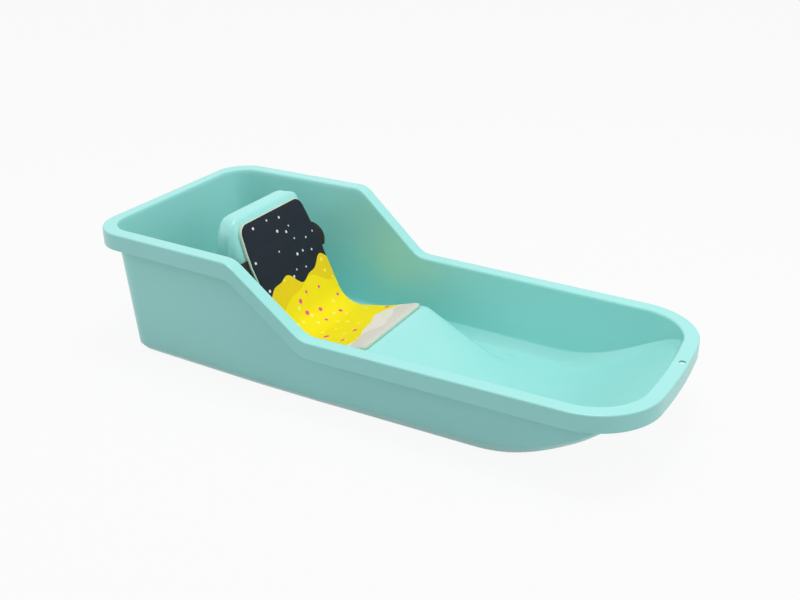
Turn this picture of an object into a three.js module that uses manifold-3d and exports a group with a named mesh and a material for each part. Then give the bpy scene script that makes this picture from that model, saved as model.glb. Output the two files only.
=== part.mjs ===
// Baby pull sled: a moulded tub with its seat and backrest, a foam seat pad and a safety belt.
// Millimetres. +X points to the bow, +Z up. Places along the sled are counted from the stern's edge,
// and the last group moves the origin to the ground under the middle of the sled.

import * as THREE from 'three';
import { mergeVertices } from 'three/addons/utils/BufferGeometryUtils.js';
import Module from 'manifold-3d';

const wasm = await Module();
wasm.setup();

// Tub: plan and heights of the rim
const overallLength = 910;
const sternHalfWidth = 194;
const beamHalfWidth = 200;
const waistHalfWidth = 191.5;
const bowHalfWidth = 182;
const sternRimHeight = 226;
const bowRimHeight = 125;
const slopeTopAt = 280;
const slopeFootAt = 400;
const kinkReach = 18;
const sternCorner = 60;
const bowCorner = 107;
const bowBulge = 3;

// Tub: rim band, skirt and walls
const bandSide = 23.5;
const bandStern = 18.5;
const bandBow = 23;
const innerSternCorner = 45;
const edgeRound = 4;
const skirtDepth = 27;
const skirtWall = 2.6;
const wall = 3;
const wallDraft = 4.5;
const floorFillet = 14;
const sternCrease = 14;
const floorCrease = 19;
const bowCrease = 9;
const creaseStartAt = 400;
const creaseFullAt = 470;
const creaseFallAt = 700;
const creaseEndAt = 830;

// Tub: the floor's rise to the bow, as one cubic curve of the underside
const rampStartAt = 660;
const rampHandle = 78;
const rampKneeAt = 790;
const rampKneeHeight = 38;
const rampEndAt = 903;
const rampEndHeight = 118;

// Tub: backrest and seat, seen from the side
const backrestFootAt = 157;
const backrestTopHeight = 240;
const backrestRecline = 24.7;
const backrestTopRound = 10;
const backrestToeRound = 8;
const seatCornerAt = 298;
const seatCornerHeight = 38;
const seatCornerRound = 52;
const seatBendAt = 388;
const seatBendHeight = 56;
const seatBendRound = 100;
const crestAt = 454;
const crestHeight = 78;
const crestRound = 30;
const seatToeAt = 602;
const seatToeRound = 120;

// Tub: backrest and seat, across
const backrestHalfWidth = 99;
const backrestCornerCut = 5;
const seatHalfWidth = 103;
const backrestTopEdgeRound = 36;
const backrestEdgeRound = 24;
const seatEdgeRound = 15;
const sideToeRound = 7;
const crestSpreadStartAt = 395;
const crestSpreadEndAt = 450;
const crestTopHalfWidth = 106;
const crestFootHalfWidth = 134;
const crestEdgeRound = 18;
const crestFootRound = 8;

// Tub: tow rope hole in the bow's rim
const towHoleDiameter = 10;
const towHoleInset = 9;
const towHoleAcross = 20;

// Seat pad: a foam sheet with a printed face
const restGap = 0.3;
const foamThickness = 5;
const coverThickness = 0.9;
const coverInset = 1.5;
const padTopHalfWidth = 83;
const padWaistHalfWidth = 92;
const padWaistHeight = 168;
const padFrontHalfWidth = 92.5;
const padTopDrop = 11;
const padFrontSetback = 5;
const padTopCorner = 17;
const padFrontCorner = 11;
const padEdgeFold = 20;
const padDrape = 0.3;
const channelMargin = 2;
const channelFlank = 0.6;
const channelClearance = 0.6;

// Safety belt: heights of its middle on the front and the rear of the backrest
const beltWidth = 40;
const beltThickness = 1.5;
const beltFrontHeight = 161;
const beltRearHeight = 150;
const beltSideSlack = 4;
const beltCornerRound = 16;
const beltBendAcross = 82;
const beltBendDrop = 7;
const sewnTailLength = 26;
const freeTailLength = 68;
const tailMergeStart = 3;
const tailMergeLength = 9;

// Side-release buckle, its lengths counted along the belt from the socket's mouth
const buckleMouthAcross = -10;
const buckleStandOff = 0.6;
const buckleThickness = 12;
const buckleHalfWidth = 26;
const buckleCorner = 5;
const socketLength = 46;
const socketCavityLength = 29;
const socketCavityHalfWidth = 18;
const socketCavityThickness = 7.6;
const windowStart = 14;
const windowEnd = 27;
const webSlotHalfWidth = 21;
const webSlotLength = 6;
const webBarLength = 5;
const webBarThickness = 4;
const plugLength = 28;
const plugHalfWidth = 24;
const plugThickness = 7;
const prongThickness = 6.4;
const prongLength = 27;
const prongAcross = 12;
const prongHalfArm = 2.5;
const prongCatch = 1.2;
const prongPadReach = 3.6;
const tongueHalfWidth = 4;
const tongueLength = 23;
const tongueTaper = 2;
const runningGap = 0.4;

// Belt keeper: an elastic loop round both layers of the belt
const keeperAcross = 66;
const keeperLength = 12;
const keeperWall = 1.6;
const keeperClearance = 0.6;

// How finely the curved faces are divided
const sternArcSteps = 4;
const bowArcSteps = 7;
const rampSteps = 6;
const profileArcSteps = 5;
const smallArcSteps = 2;
const padCornerSteps = 3;
const beltCornerSteps = 6;
const foldSteps = 4;
const holeSides = 24;

const degrees = Math.PI / 180;
const cutOverrun = 2;
const filletShare = 0.6;
const creaseMiddleShare = 0.42;
const creasePower = 1.45;
const leastLean = 0.42;
const lowerBackShare = 0.4;
const edgeShares = [0, 1 / 3, 2 / 3, 1];
const foldShares = [0, 1 / 3, 2 / 3, 1];
const roundShare = 0.4;
const mix = (a, b, share) => a + (b - a) * share;
const clamp = (value, low, high) => Math.min(Math.max(value, low), high);
const smoothShare = (value, low, high) => {
  const share = clamp((value - low) / (high - low), 0, 1);
  return share * share * (3 - 2 * share);
};

// Value of a row of [place, value] pairs at one place, straight between them
function alongPairs(pairs, at) {
  if (at <= pairs[0][0]) return pairs[0][1];
  for (let i = 1; i < pairs.length; i++) {
    const [place, value] = pairs[i];
    const [lastPlace, lastValue] = pairs[i - 1];
    if (at <= place) return mix(lastValue, value, (at - lastPlace) / (place - lastPlace));
  }
  return pairs[pairs.length - 1][1];
}

// A side view path through corners, each rounded by its own radius: points with their left-hand normals
function roundedPath(corners) {
  const points = [];
  const add = (x, z, nx, nz) => points.push({ x, z, nx, nz });
  const heading = (a, b) => Math.atan2(b.z - a.z, b.x - a.x);
  for (let i = 0; i < corners.length; i++) {
    const here = corners[i];
    const before = corners[i - 1];
    const after = corners[i + 1];
    if (!before || !after) {
      const angle = before ? heading(before, here) : heading(here, after);
      add(here.x, here.z, -Math.sin(angle), Math.cos(angle));
      continue;
    }
    const start = heading(before, here);
    const turnFull = heading(here, after) - start;
    const turn = Math.atan2(Math.sin(turnFull), Math.cos(turnFull));
    const reach = here.round * Math.tan(Math.abs(turn) / 2);
    const centreSide = Math.sign(turn) * here.round;
    const centreX = here.x - reach * Math.cos(start) - centreSide * Math.sin(start);
    const centreZ = here.z - reach * Math.sin(start) + centreSide * Math.cos(start);
    for (let k = 0; k <= here.steps; k++) {
      const angle = start + turn * k / here.steps;
      const nx = -Math.sin(angle);
      const nz = Math.cos(angle);
      add(centreX - centreSide * nx, centreZ - centreSide * nz, nx, nz);
    }
  }
  return points;
}

// The same path with more points, straight between its own ones, where x passes the given places
function withStations(path, places) {
  const points = [...path];
  for (const x of places) {
    const i = points.findIndex((p) => p.x > x);
    const a = points[i - 1];
    const b = points[i];
    if (i < 1 || x - a.x < edgeRound / 2 || b.x - x < edgeRound / 2) continue;
    const share = (x - a.x) / (b.x - a.x);
    const length = Math.hypot(mix(a.nx, b.nx, share), mix(a.nz, b.nz, share));
    points.splice(i, 0, {
      x, z: mix(a.z, b.z, share),
      nx: mix(a.nx, b.nx, share) / length, nz: mix(a.nz, b.nz, share) / length,
    });
  }
  return points;
}

// Closed geometry from plain vertex and triangle lists
function geometryFrom(vertices, triangles) {
  const geometry = new THREE.BufferGeometry();
  geometry.setAttribute('position', new THREE.Float32BufferAttribute(vertices.flat(), 3));
  geometry.setIndex(triangles.flat());
  return geometry;
}

// A closed solid from two grids of points that face each other: every row has as many points
function slabFrom(front, back) {
  const rows = front.length;
  const columns = front[0].length;
  const vertices = [...front.flat(), ...back.flat()];
  const at = (row, column, side) => side * rows * columns + row * columns + column;
  const triangles = [];
  const quad = (a, b, c, d) => triangles.push([a, b, c], [a, c, d]);
  for (let r = 0; r + 1 < rows; r++) {
    for (let c = 0; c + 1 < columns; c++) {
      quad(at(r, c, 0), at(r + 1, c, 0), at(r + 1, c + 1, 0), at(r, c + 1, 0));
      quad(at(r, c, 1), at(r, c + 1, 1), at(r + 1, c + 1, 1), at(r + 1, c, 1));
    }
    const last = columns - 1;
    quad(at(r, 0, 0), at(r, 0, 1), at(r + 1, 0, 1), at(r + 1, 0, 0));
    quad(at(r, last, 0), at(r + 1, last, 0), at(r + 1, last, 1), at(r, last, 1));
  }
  for (let c = 0; c + 1 < columns; c++) {
    const last = rows - 1;
    quad(at(0, c, 0), at(0, c + 1, 0), at(0, c + 1, 1), at(0, c, 1));
    quad(at(last, c, 0), at(last, c, 1), at(last, c + 1, 1), at(last, c + 1, 0));
  }
  return geometryFrom(vertices, triangles);
}

function toSolid(geometry) {
  const bare = geometry.clone();
  bare.deleteAttribute('normal');
  bare.deleteAttribute('uv');
  const merged = mergeVertices(bare);
  return new wasm.Manifold(new wasm.Mesh({
    numProp: 3,
    vertProperties: new Float32Array(merged.attributes.position.array),
    triVerts: new Uint32Array(merged.index.array),
  }));
}

function fromSolid(solid) {
  const mesh = solid.getMesh();
  const geometry = new THREE.BufferGeometry();
  geometry.setAttribute('position', new THREE.BufferAttribute(mesh.vertProperties, mesh.numProp));
  geometry.setIndex(new THREE.BufferAttribute(mesh.triVerts, 1));
  return geometry;
}

function cut(geometry, ...tools) {
  return fromSolid(tools.reduce((solid, tool) => solid.subtract(toSolid(tool)), toSolid(geometry)));
}

function join(geometry, ...others) {
  return fromSolid(others.reduce((solid, other) => solid.add(toSolid(other)), toSolid(geometry)));
}

function boxBetween(x0, x1, y0, y1, z0, z1) {
  const box = new THREE.BoxGeometry(x1 - x0, y1 - y0, z1 - z0);
  return box.translate((x0 + x1) / 2, (y0 + y1) / 2, (z0 + z1) / 2);
}

// Height of the rim along the sled, with both kinks of the slope eased
function rimHeightAt(x) {
  const straight = (at) => alongPairs([[slopeTopAt, sternRimHeight], [slopeFootAt, bowRimHeight]], at);
  return (straight(x - kinkReach) + 2 * straight(x) + straight(x + kinkReach)) / 4;
}

function halfWidthAt(x) {
  return alongPairs([
    [0, sternHalfWidth], [slopeTopAt, beamHalfWidth], [slopeFootAt, waistHalfWidth], [overallLength, bowHalfWidth],
  ], x);
}

// Height and slope of the underside at one place
function undersideAt(x) {
  if (x <= rampStartAt) return { z: 0, slope: 0 };
  const places = [rampStartAt, rampStartAt + rampHandle, rampKneeAt, rampEndAt];
  const heights = [0, 0, rampKneeHeight, rampEndHeight];
  const curve = new THREE.CubicBezierCurve(...places.map((place, i) => new THREE.Vector2(place, heights[i])));
  let low = 0;
  let high = 1;
  const halvings = 30;
  for (let i = 0; i < halvings; i++) {
    const middle = (low + high) / 2;
    if (curve.getPoint(middle).x < x) low = middle;
    else high = middle;
  }
  const tangent = curve.getTangent(low);
  return { z: curve.getPoint(low).y, slope: tangent.y / tangent.x };
}

// Height of the tub's floor, one wall above the underside, square to it
function floorAt(x) {
  const { z, slope } = undersideAt(x);
  return z + wall * Math.hypot(1, slope);
}

// Seat and backrest from the side, as the upper face of the moulding
const backrestSlope = Math.tan(backrestRecline * degrees);
const draftSlope = Math.tan(wallDraft * degrees);
const backrestRearAt = (z) => backrestFootAt + (z - wall) * draftSlope;
const backrestFrontAt = (z) => seatCornerAt - (z - seatCornerHeight) * backrestSlope;
const seatFlatStart = backrestFootAt - 2 * backrestToeRound;
const seatFlatEnd = rampStartAt - floorFillet;
const seatPath = roundedPath([
  { x: seatFlatStart, z: wall },
  { x: backrestFootAt, z: wall, round: backrestToeRound, steps: smallArcSteps },
  { x: backrestRearAt(backrestTopHeight), z: backrestTopHeight, round: backrestTopRound, steps: smallArcSteps },
  { x: backrestFrontAt(backrestTopHeight), z: backrestTopHeight, round: backrestTopRound, steps: smallArcSteps },
  { x: seatCornerAt, z: seatCornerHeight, round: seatCornerRound, steps: profileArcSteps },
  { x: seatBendAt, z: seatBendHeight, round: seatBendRound, steps: smallArcSteps },
  { x: crestAt, z: crestHeight, round: crestRound, steps: smallArcSteps },
  { x: seatToeAt, z: wall, round: seatToeRound, steps: smallArcSteps },
  { x: seatFlatEnd, z: wall },
]);

// Places along the sled where the tub's mesh has a section: on the seat's path, at the rim's kinks, up the ramp
const kinkPlaces = [slopeTopAt, slopeFootAt].flatMap((at) => [at - kinkReach, at, at + kinkReach]);
const lowerBackHeight = mix(beltFrontHeight - beltWidth / 2, seatBendHeight, lowerBackShare);
const backPlaces = [beltFrontHeight + beltWidth / 2, beltFrontHeight - beltWidth / 2, lowerBackHeight].map(backrestFrontAt);
const sternTangentAt = bandStern + innerSternCorner + edgeRound;
const bowTangentAt = overallLength - bowBulge - bowCorner;
const seatStations = withStations(seatPath, [...kinkPlaces, ...backPlaces]);
const innerStations = [{ x: sternTangentAt, z: wall, nx: 0, nz: 1 }, ...seatStations];
for (let k = 0; k < rampSteps; k++) {
  const x = mix(rampStartAt, bowTangentAt, k / rampSteps);
  innerStations.push({ x, z: floorAt(x), nx: 0, nz: 1 });
}
const outerStations = innerStations.map((p) => (
  p.x >= rampStartAt ? { x: p.x, z: undersideAt(p.x).z } : { ...p, x: p.x - p.nx * wall, z: p.z - p.nz * wall }
));

// Half the points along a straight end, from the middle to its corner, as shares of its half length
const columnShares = [0, 0.3, 0.56, 0.66, 0.74, 0.82, 0.88, 0.94, 1];
const halfColumns = columnShares.length - 1;

// One loop round the tub: far side from stern to bow, then mirrored back; each point has its outward normal
function planLoop(band, stations) {
  const stern = bandStern * band;
  const bow = overallLength - bowBulge - bandBow * band;
  const inset = bandSide * band;
  const sternRadius = mix(sternCorner, innerSternCorner, band);
  const bowRadius = bowCorner - bandBow * band;
  const sternWidth = halfWidthAt(stern + sternRadius) - inset;
  const bowWidth = halfWidthAt(bow - bowRadius) - inset;
  const half = [];
  for (let c = 1; c <= halfColumns; c++) {
    half.push({ x: stern, y: (sternWidth - sternRadius) * columnShares[c], nx: -1, ny: 0, row: 0, column: c });
  }
  for (let k = 1; k <= sternArcSteps; k++) {
    const angle = k / sternArcSteps * Math.PI / 2;
    half.push({
      x: stern + sternRadius * (1 - Math.cos(angle)), y: sternWidth - sternRadius * (1 - Math.sin(angle)),
      nx: -Math.cos(angle), ny: Math.sin(angle),
    });
  }
  for (const station of stations) {
    half.push({ x: station.x, y: halfWidthAt(station.x) - inset, nx: 0, ny: 1 });
  }
  for (let k = 0; k < bowArcSteps; k++) {
    const angle = k / bowArcSteps * Math.PI / 2;
    half.push({
      x: bow - bowRadius * (1 - Math.sin(angle)), y: bowWidth - bowRadius * (1 - Math.cos(angle)),
      nx: Math.sin(angle), ny: Math.cos(angle),
    });
  }
  for (let c = halfColumns; c >= 1; c--) {
    const share = columnShares[c];
    half.push({ x: bow + bowBulge * (1 - share * share), y: (bowWidth - bowRadius) * share, nx: 1, ny: 0 });
  }
  const middle = { x: bow + bowBulge, y: 0, nx: 1, ny: 0 };
  const mirrored = half.map((p) => ({ ...p, y: -p.y, ny: -p.ny })).reverse();
  return [...half, middle, ...mirrored, { x: stern, y: 0, nx: -1, ny: 0 }];
}

const rimRing = (band, drop, stations) => planLoop(band, stations).map((p) => [p.x, p.y, rimHeightAt(p.x) - drop]);

// How far above the floor the wall ends in a crease
const creaseAbove = (x) => alongPairs([
  [creaseStartAt, sternCrease], [creaseFullAt, floorCrease], [creaseFallAt, floorCrease], [creaseEndAt, bowCrease],
], x);

// The wall below the rim, from its top to where the floor begins: rings down the wall and the flared foot
function wallRings(stations, offset, topDrop, floorHeight) {
  const top = [];
  const start = [];
  const middle = [];
  const end = [];
  for (const p of planLoop(1, stations)) {
    const x0 = p.x + p.nx * offset;
    const y0 = p.y + p.ny * offset;
    const rim = rimHeightAt(x0);
    const depth = rim - floorHeight(x0);
    const inset = depth * draftSlope;
    const x1 = x0 - p.nx * inset;
    const y1 = y0 - p.ny * inset;
    const z1 = floorHeight(x1);
    const room = (depth - topDrop) * filletShare;
    const rise = Math.min(creaseAbove(p.x) + offset, room);
    const reach = Math.min(floorFillet + offset, room);
    const x2 = x1 - p.nx * reach;
    const y2 = y1 - p.ny * reach;
    const a = [x1 + p.nx * rise * draftSlope, y1 + p.ny * rise * draftSlope, z1 + rise];
    const b = [x2, y2, floorHeight(x2)];
    const left = (1 - creaseMiddleShare) ** creasePower;
    top.push([x0 - p.nx * topDrop * draftSlope, y0 - p.ny * topDrop * draftSlope, rim - topDrop]);
    start.push(a);
    middle.push([mix(a[0], b[0], creaseMiddleShare), mix(a[1], b[1], creaseMiddleShare), mix(b[2], a[2], left)]);
    end.push(b);
  }
  return [top, start, middle, end];
}

// Where the seat's side begins at one station, and how its upper edge is rounded
function seatEdge(station, height) {
  const spread = smoothShare(station.x, crestSpreadStartAt, crestSpreadEndAt);
  const seatShare = smoothShare(station.x, backrestFrontAt(backrestTopHeight), seatCornerAt);
  const onTop = [backrestRearAt(backrestTopHeight), backrestFrontAt(backrestTopHeight)];
  const frontShare = smoothShare(station.x, onTop[0] + backrestTopRound, onTop[1] + backrestTopRound / 2);
  const rearCut = backrestCornerCut * (station.x < backrestRearAt(backrestTopHeight) + backrestTopRound / 2 ? 1 : 0);
  const steepTop = mix(backrestHalfWidth, seatHalfWidth, seatShare) - rearCut;
  const steepFoot = steepTop + height * draftSlope;
  const topWidth = mix(steepTop, crestTopHalfWidth, spread);
  const footWidth = mix(steepFoot, crestFootHalfWidth, spread);
  const backrestRound = mix(backrestTopEdgeRound, backrestEdgeRound, frontShare);
  const edgeWidth = mix(mix(backrestRound, seatEdgeRound, seatShare), crestEdgeRound, spread);
  const round = Math.min(edgeWidth, height * roundShare);
  const drop = Math.min(round / (station.nx < 0 ? 1 : Math.max(station.nz, leastLean)), height * filletShare);
  const toe = Math.min(mix(sideToeRound, crestFootRound, spread), height * roundShare);
  return { topWidth, footWidth, round, drop, toe };
}

// Half section of the seat at one station: [y, height above the floor] from the middle out
function seatSection(station, edge, offset, floorHeight) {
  const height = Math.max(station.z - floorHeight, 0);
  const { round, drop, toe, ...widths } = seatEdge(station, height);
  const topWidth = widths.topWidth - offset;
  const footWidth = widths.footWidth - offset;
  const onEdge = (share) => {
    const angle = share * Math.PI / 2;
    return [topWidth - round * (1 - Math.sin(angle)), height - drop * (1 - Math.cos(angle))];
  };
  return [
    [0, height],
    ...edgeShares.map(onEdge),
    [footWidth, toe],
    [footWidth + toe * (1 - Math.SQRT1_2), toe * (1 - Math.SQRT1_2)],
    [footWidth + toe, 0],
    [edge, 0],
  ];
}

// Floor grid inside the last wall ring; its rim points are that ring's own points
function floorRows(ring, stations, offset, floorHeight) {
  const count = ring.length;
  const bowMiddle = count / 2 - 1;
  const last = sternArcSteps + stations.length + bowArcSteps + 1;
  const rows = [];
  for (let r = 0; r <= last; r++) {
    const far = halfColumns - 1 + r;
    const near = count - 2 - far;
    const row = [];
    const station = stations[r - 1 - sternArcSteps];
    const edge = ring[far][1];
    const x = ring[far][0];
    const z = floorHeight(x);
    for (let c = -halfColumns; c <= halfColumns; c++) {
      if (c === halfColumns) row.push(far);
      else if (c === -halfColumns) row.push(near);
      else if (r === 0) row.push(c === 0 ? count - 1 : c > 0 ? c - 1 : count - 1 + c);
      else if (r === last) row.push(bowMiddle - c);
      else {
        const share = columnShares[Math.abs(c)];
        let place = [share * edge, 0];
        if (station && station.z - z > edgeRound / 2) place = seatSection(station, edge, offset, z)[Math.abs(c)];
        row.push([x, Math.sign(c) * place[0], z + place[1]]);
      }
    }
    rows.push(row);
  }
  return rows;
}

function tubShell() {
  const skirtShare = skirtWall / bandSide;
  const edgeShare = edgeRound / bandSide;
  const inner = wallRings(innerStations, 0, edgeRound, floorAt);
  const outer = wallRings(outerStations, wall, wall, (x) => undersideAt(x).z);
  const rings = [
    ...inner.reverse(),
    rimRing(1 - edgeShare, 0, innerStations),
    rimRing(edgeShare, 0, innerStations),
    rimRing(0, edgeRound, innerStations),
    rimRing(0, skirtDepth, innerStations),
    rimRing(skirtShare, skirtDepth, innerStations),
    rimRing(skirtShare, wall, innerStations),
    ...outer,
  ];
  const count = rings[0].length;
  const vertices = rings.flat();
  const triangles = [];
  const quad = (a, b, c, d) => triangles.push([a, b, c], [a, c, d]);
  for (let k = 0; k + 1 < rings.length; k++) {
    for (let i = 0; i < count; i++) {
      const next = (i + 1) % count;
      quad(k * count + i, k * count + next, (k + 1) * count + next, (k + 1) * count + i);
    }
  }
  const fill = (ringIndex, stations, offset, floorHeight, upward) => {
    const base = ringIndex * count;
    const rows = floorRows(rings[ringIndex], stations, offset, floorHeight).map((row) => row.map((entry) => {
      if (typeof entry === 'number') return base + entry;
      vertices.push(entry);
      return vertices.length - 1;
    }));
    for (let r = 0; r + 1 < rows.length; r++) {
      for (let c = 0; c < 2 * halfColumns; c++) {
        const corners = [rows[r][c], rows[r + 1][c], rows[r + 1][c + 1], rows[r][c + 1]];
        if (!upward) corners.reverse();
        quad(...corners);
      }
    }
  };
  fill(0, innerStations, 0, floorAt, true);
  fill(rings.length - 1, outerStations, wall, (x) => undersideAt(x).z, false);
  return geometryFrom(vertices, triangles);
}

function towHole() {
  const hole = new THREE.CylinderGeometry(towHoleDiameter / 2, towHoleDiameter / 2, 2 * skirtDepth, holeSides);
  hole.rotateX(Math.PI / 2);
  return hole.translate(overallLength - towHoleInset, towHoleAcross, bowRimHeight);
}

// Point of a path at a distance from its start
function alongPath(path, distance) {
  let passed = 0;
  for (let i = 1; i < path.length; i++) {
    const a = path[i - 1];
    const b = path[i];
    const step = Math.hypot(b.x - a.x, b.z - a.z);
    if (distance <= passed + step || i === path.length - 1) {
      const share = (distance - passed) / step;
      const nx = mix(a.nx, b.nx, share);
      const nz = mix(a.nz, b.nz, share);
      const length = Math.hypot(nx, nz);
      return { x: mix(a.x, b.x, share), z: mix(a.z, b.z, share), nx: nx / length, nz: nz / length };
    }
    passed += step;
  }
  return path[path.length - 1];
}

// The pad lies on the backrest's front, round the seat's corner and up to the crest
const slopeLength = (drop) => drop / Math.cos(backrestRecline * degrees);
const padTop = { x: backrestFrontAt(backrestTopHeight - padTopDrop), z: backrestTopHeight - padTopDrop };
const padFrontShare = (crestAt - padFrontSetback - seatBendAt) / (crestAt - seatBendAt);
const padFront = { x: crestAt - padFrontSetback, z: mix(seatBendHeight, crestHeight, padFrontShare) };
const padPath = roundedPath([
  padTop,
  { x: seatCornerAt, z: seatCornerHeight, round: seatCornerRound, steps: profileArcSteps },
  { x: seatBendAt, z: seatBendHeight, round: seatBendRound, steps: smallArcSteps },
  padFront,
]);
const pathDistances = padPath.reduce((list, p, i) => {
  const last = padPath[i - 1];
  return [...list, last ? list[i - 1] + Math.hypot(p.x - last.x, p.z - last.z) : 0];
}, []);
const padLength = pathDistances[pathDistances.length - 1];
const beltMiddle = slopeLength(padTop.z - beltFrontHeight);
const channelStart = beltMiddle - beltWidth / 2 - channelMargin;
const channelEnd = beltMiddle + beltWidth / 2 + channelMargin;

// Half width of the pad at a distance from its top edge, with its corners
function padHalfWidth(distance, inset) {
  const x = alongPath(padPath, distance).x;
  const full = alongPairs([
    [padTop.x, padTopHalfWidth], [backrestFrontAt(padWaistHeight), padWaistHalfWidth], [padFront.x, padFrontHalfWidth],
  ], x);
  const corner = (radius, reach) => {
    const rest = clamp(radius - reach, 0, radius);
    return radius - Math.sqrt(radius * radius - rest * rest);
  };
  const corners = corner(padTopCorner - inset, distance - inset) + corner(padFrontCorner, padLength - inset - distance);
  return full - inset - corners;
}

function padSheet(inset, low, high, withChannel) {
  const distances = new Set([channelStart, channelStart + channelFlank, channelEnd - channelFlank, channelEnd]);
  distances.add(slopeLength(padTop.z - lowerBackHeight));
  for (let k = 0; k <= padCornerSteps; k++) {
    const share = 1 - Math.cos(k / padCornerSteps * Math.PI / 2);
    distances.add(inset + (padTopCorner - inset) * share);
    distances.add(padLength - inset - padFrontCorner * share);
  }
  for (const distance of pathDistances.slice(1, -1)) distances.add(distance);
  const front = [];
  const back = [];
  for (const distance of [...distances].sort((a, b) => a - b)) {
    const p = alongPath(padPath, distance);
    const half = padHalfWidth(distance, inset);
    const inChannel = distance > channelStart && distance < channelEnd;
    const rise = withChannel && inChannel ? low + beltThickness + channelClearance : low;
    const edge = seatEdge(p, p.z - wall);
    const point = (y, out) => {
      const over = clamp((Math.abs(y) - edge.topWidth) / edge.round + 1, 0, 1);
      const depth = out - padDrape * p.nz * edge.drop * (1 - Math.sqrt(1 - over * over));
      return [p.x + p.nx * depth, y, p.z + p.nz * depth];
    };
    const halfRow = foldShares.map((share) => mix(half, padTopHalfWidth - padEdgeFold, share));
    const across = [...halfRow.map((y) => -y), ...halfRow.reverse()];
    front.push(across.map((y) => point(y, high)));
    back.push(across.map((y) => point(y, rise)));
  }
  return slabFrom(front, back);
}

// The belt's own frame: on the backrest's rear face, local X across the belt, Y along it and Z away from the face
const rearAxes = {
  across: new THREE.Vector3(Math.sin(wallDraft * degrees), 0, Math.cos(wallDraft * degrees)),
  out: new THREE.Vector3(-Math.cos(wallDraft * degrees), 0, Math.sin(wallDraft * degrees)),
  middle: new THREE.Vector3(backrestRearAt(beltRearHeight), 0, beltRearHeight),
};
const frontAxes = {
  across: new THREE.Vector3(-Math.sin(backrestRecline * degrees), 0, Math.cos(backrestRecline * degrees)),
  out: new THREE.Vector3(-Math.cos(backrestRecline * degrees), 0, -Math.sin(backrestRecline * degrees)),
  middle: new THREE.Vector3(backrestFrontAt(beltFrontHeight), 0, beltFrontHeight),
};
const buckleFrame = new THREE.Matrix4()
  .makeBasis(rearAxes.across, new THREE.Vector3(0, 1, 0), rearAxes.out)
  .setPosition(rearAxes.middle);
const buckleMiddle = buckleStandOff + buckleThickness / 2;
const beltLayerOut = buckleMiddle - webBarThickness / 2 - restGap - beltThickness;
const foldDepth = webBarThickness + 2 * (restGap + beltThickness);
const socketEnd = buckleMouthAcross - socketLength;
const plugEnd = buckleMouthAcross + plugLength;

// One length of webbing: its free tail, the fold on the plug, round the backrest, and the sewn fold on the socket
function beltWebbing() {
  const spread = frontAxes.middle.distanceTo(rearAxes.middle);
  const side = backrestHalfWidth + beltSideSlack
    + (backrestTopHeight - beltRearHeight + beltWidth / 2) * draftSlope;
  const front = -spread - restGap;
  const tailOut = beltLayerOut + 2 * beltThickness + restGap;
  const foldOut = beltLayerOut + foldDepth;
  const plugFold = plugEnd - webBarLength - foldDepth / 2;
  const socketFold = socketEnd + webBarLength + foldDepth / 2;
  const fold = { round: foldDepth / 2, steps: foldSteps };
  const merge = { round: tailMergeLength, steps: 1 };
  const turn = { round: beltCornerRound, steps: beltCornerSteps };
  const path = roundedPath([
    { x: plugFold + freeTailLength, z: tailOut },
    { x: plugEnd + tailMergeStart + tailMergeLength, z: tailOut, ...merge },
    { x: plugEnd + tailMergeStart, z: foldOut, ...merge },
    { x: plugFold, z: foldOut, ...fold },
    { x: plugFold, z: beltLayerOut, ...fold },
    { x: side, z: beltLayerOut, ...turn },
    { x: side, z: front + beltBendDrop, ...turn },
    { x: beltBendAcross, z: front, round: beltCornerRound, steps: 1 },
    { x: -beltBendAcross, z: front, round: beltCornerRound, steps: 1 },
    { x: -side, z: front + beltBendDrop, ...turn },
    { x: -side, z: beltLayerOut, ...turn },
    { x: socketFold, z: beltLayerOut, ...fold },
    { x: socketFold, z: foldOut, ...fold },
    { x: socketEnd - tailMergeStart, z: foldOut, ...merge },
    { x: socketEnd - tailMergeStart - tailMergeLength, z: tailOut, ...merge },
    { x: socketFold - sewnTailLength, z: tailOut },
  ]);
  const twistEnd = spread - 2 * beltBendDrop;
  const twistMiddle = frontAxes.middle.clone().addScaledVector(frontAxes.out, spread - twistEnd);
  const sections = path.map((p) => {
    const share = clamp(-p.z / twistEnd, 0, 1);
    const across = rearAxes.across.clone().lerp(frontAxes.across, share).normalize();
    const out = rearAxes.out.clone().lerp(frontAxes.out, share).normalize();
    const centre = rearAxes.middle.clone().lerp(twistMiddle, share);
    centre.addScaledVector(out, p.z > 0 ? p.z : Math.min(p.z + twistEnd, 0));
    centre.y = p.x;
    const normal = out.clone().multiplyScalar(p.nz);
    normal.y = p.nx;
    const at = (width, depth) => centre.clone().addScaledVector(across, width).addScaledVector(normal, depth).toArray();
    return [-beltWidth / 2, beltWidth / 2].map((width) => [at(width, 0), at(width, beltThickness)]);
  });
  const face = (depth) => sections.map((pair) => pair.map((edge) => edge[depth]));
  return slabFrom(face(0), face(1));
}

// Flat outline in the buckle's plane, given a thickness about the buckle's middle
function plate(outline, thickness) {
  const geometry = new THREE.ExtrudeGeometry(outline, { depth: thickness, bevelEnabled: false, curveSegments: smallArcSteps * 2 });
  return geometry.translate(0, 0, buckleMiddle - thickness / 2);
}

function roundedOutline(halfWidth, start, end, radius) {
  const outline = new THREE.Shape();
  outline.moveTo(halfWidth - radius, start);
  outline.quadraticCurveTo(halfWidth, start, halfWidth, start + radius);
  outline.lineTo(halfWidth, end - radius);
  outline.quadraticCurveTo(halfWidth, end, halfWidth - radius, end);
  outline.lineTo(radius - halfWidth, end);
  outline.quadraticCurveTo(-halfWidth, end, -halfWidth, end - radius);
  outline.lineTo(-halfWidth, start + radius);
  outline.quadraticCurveTo(-halfWidth, start, radius - halfWidth, start);
  outline.closePath();
  return outline;
}

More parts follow.
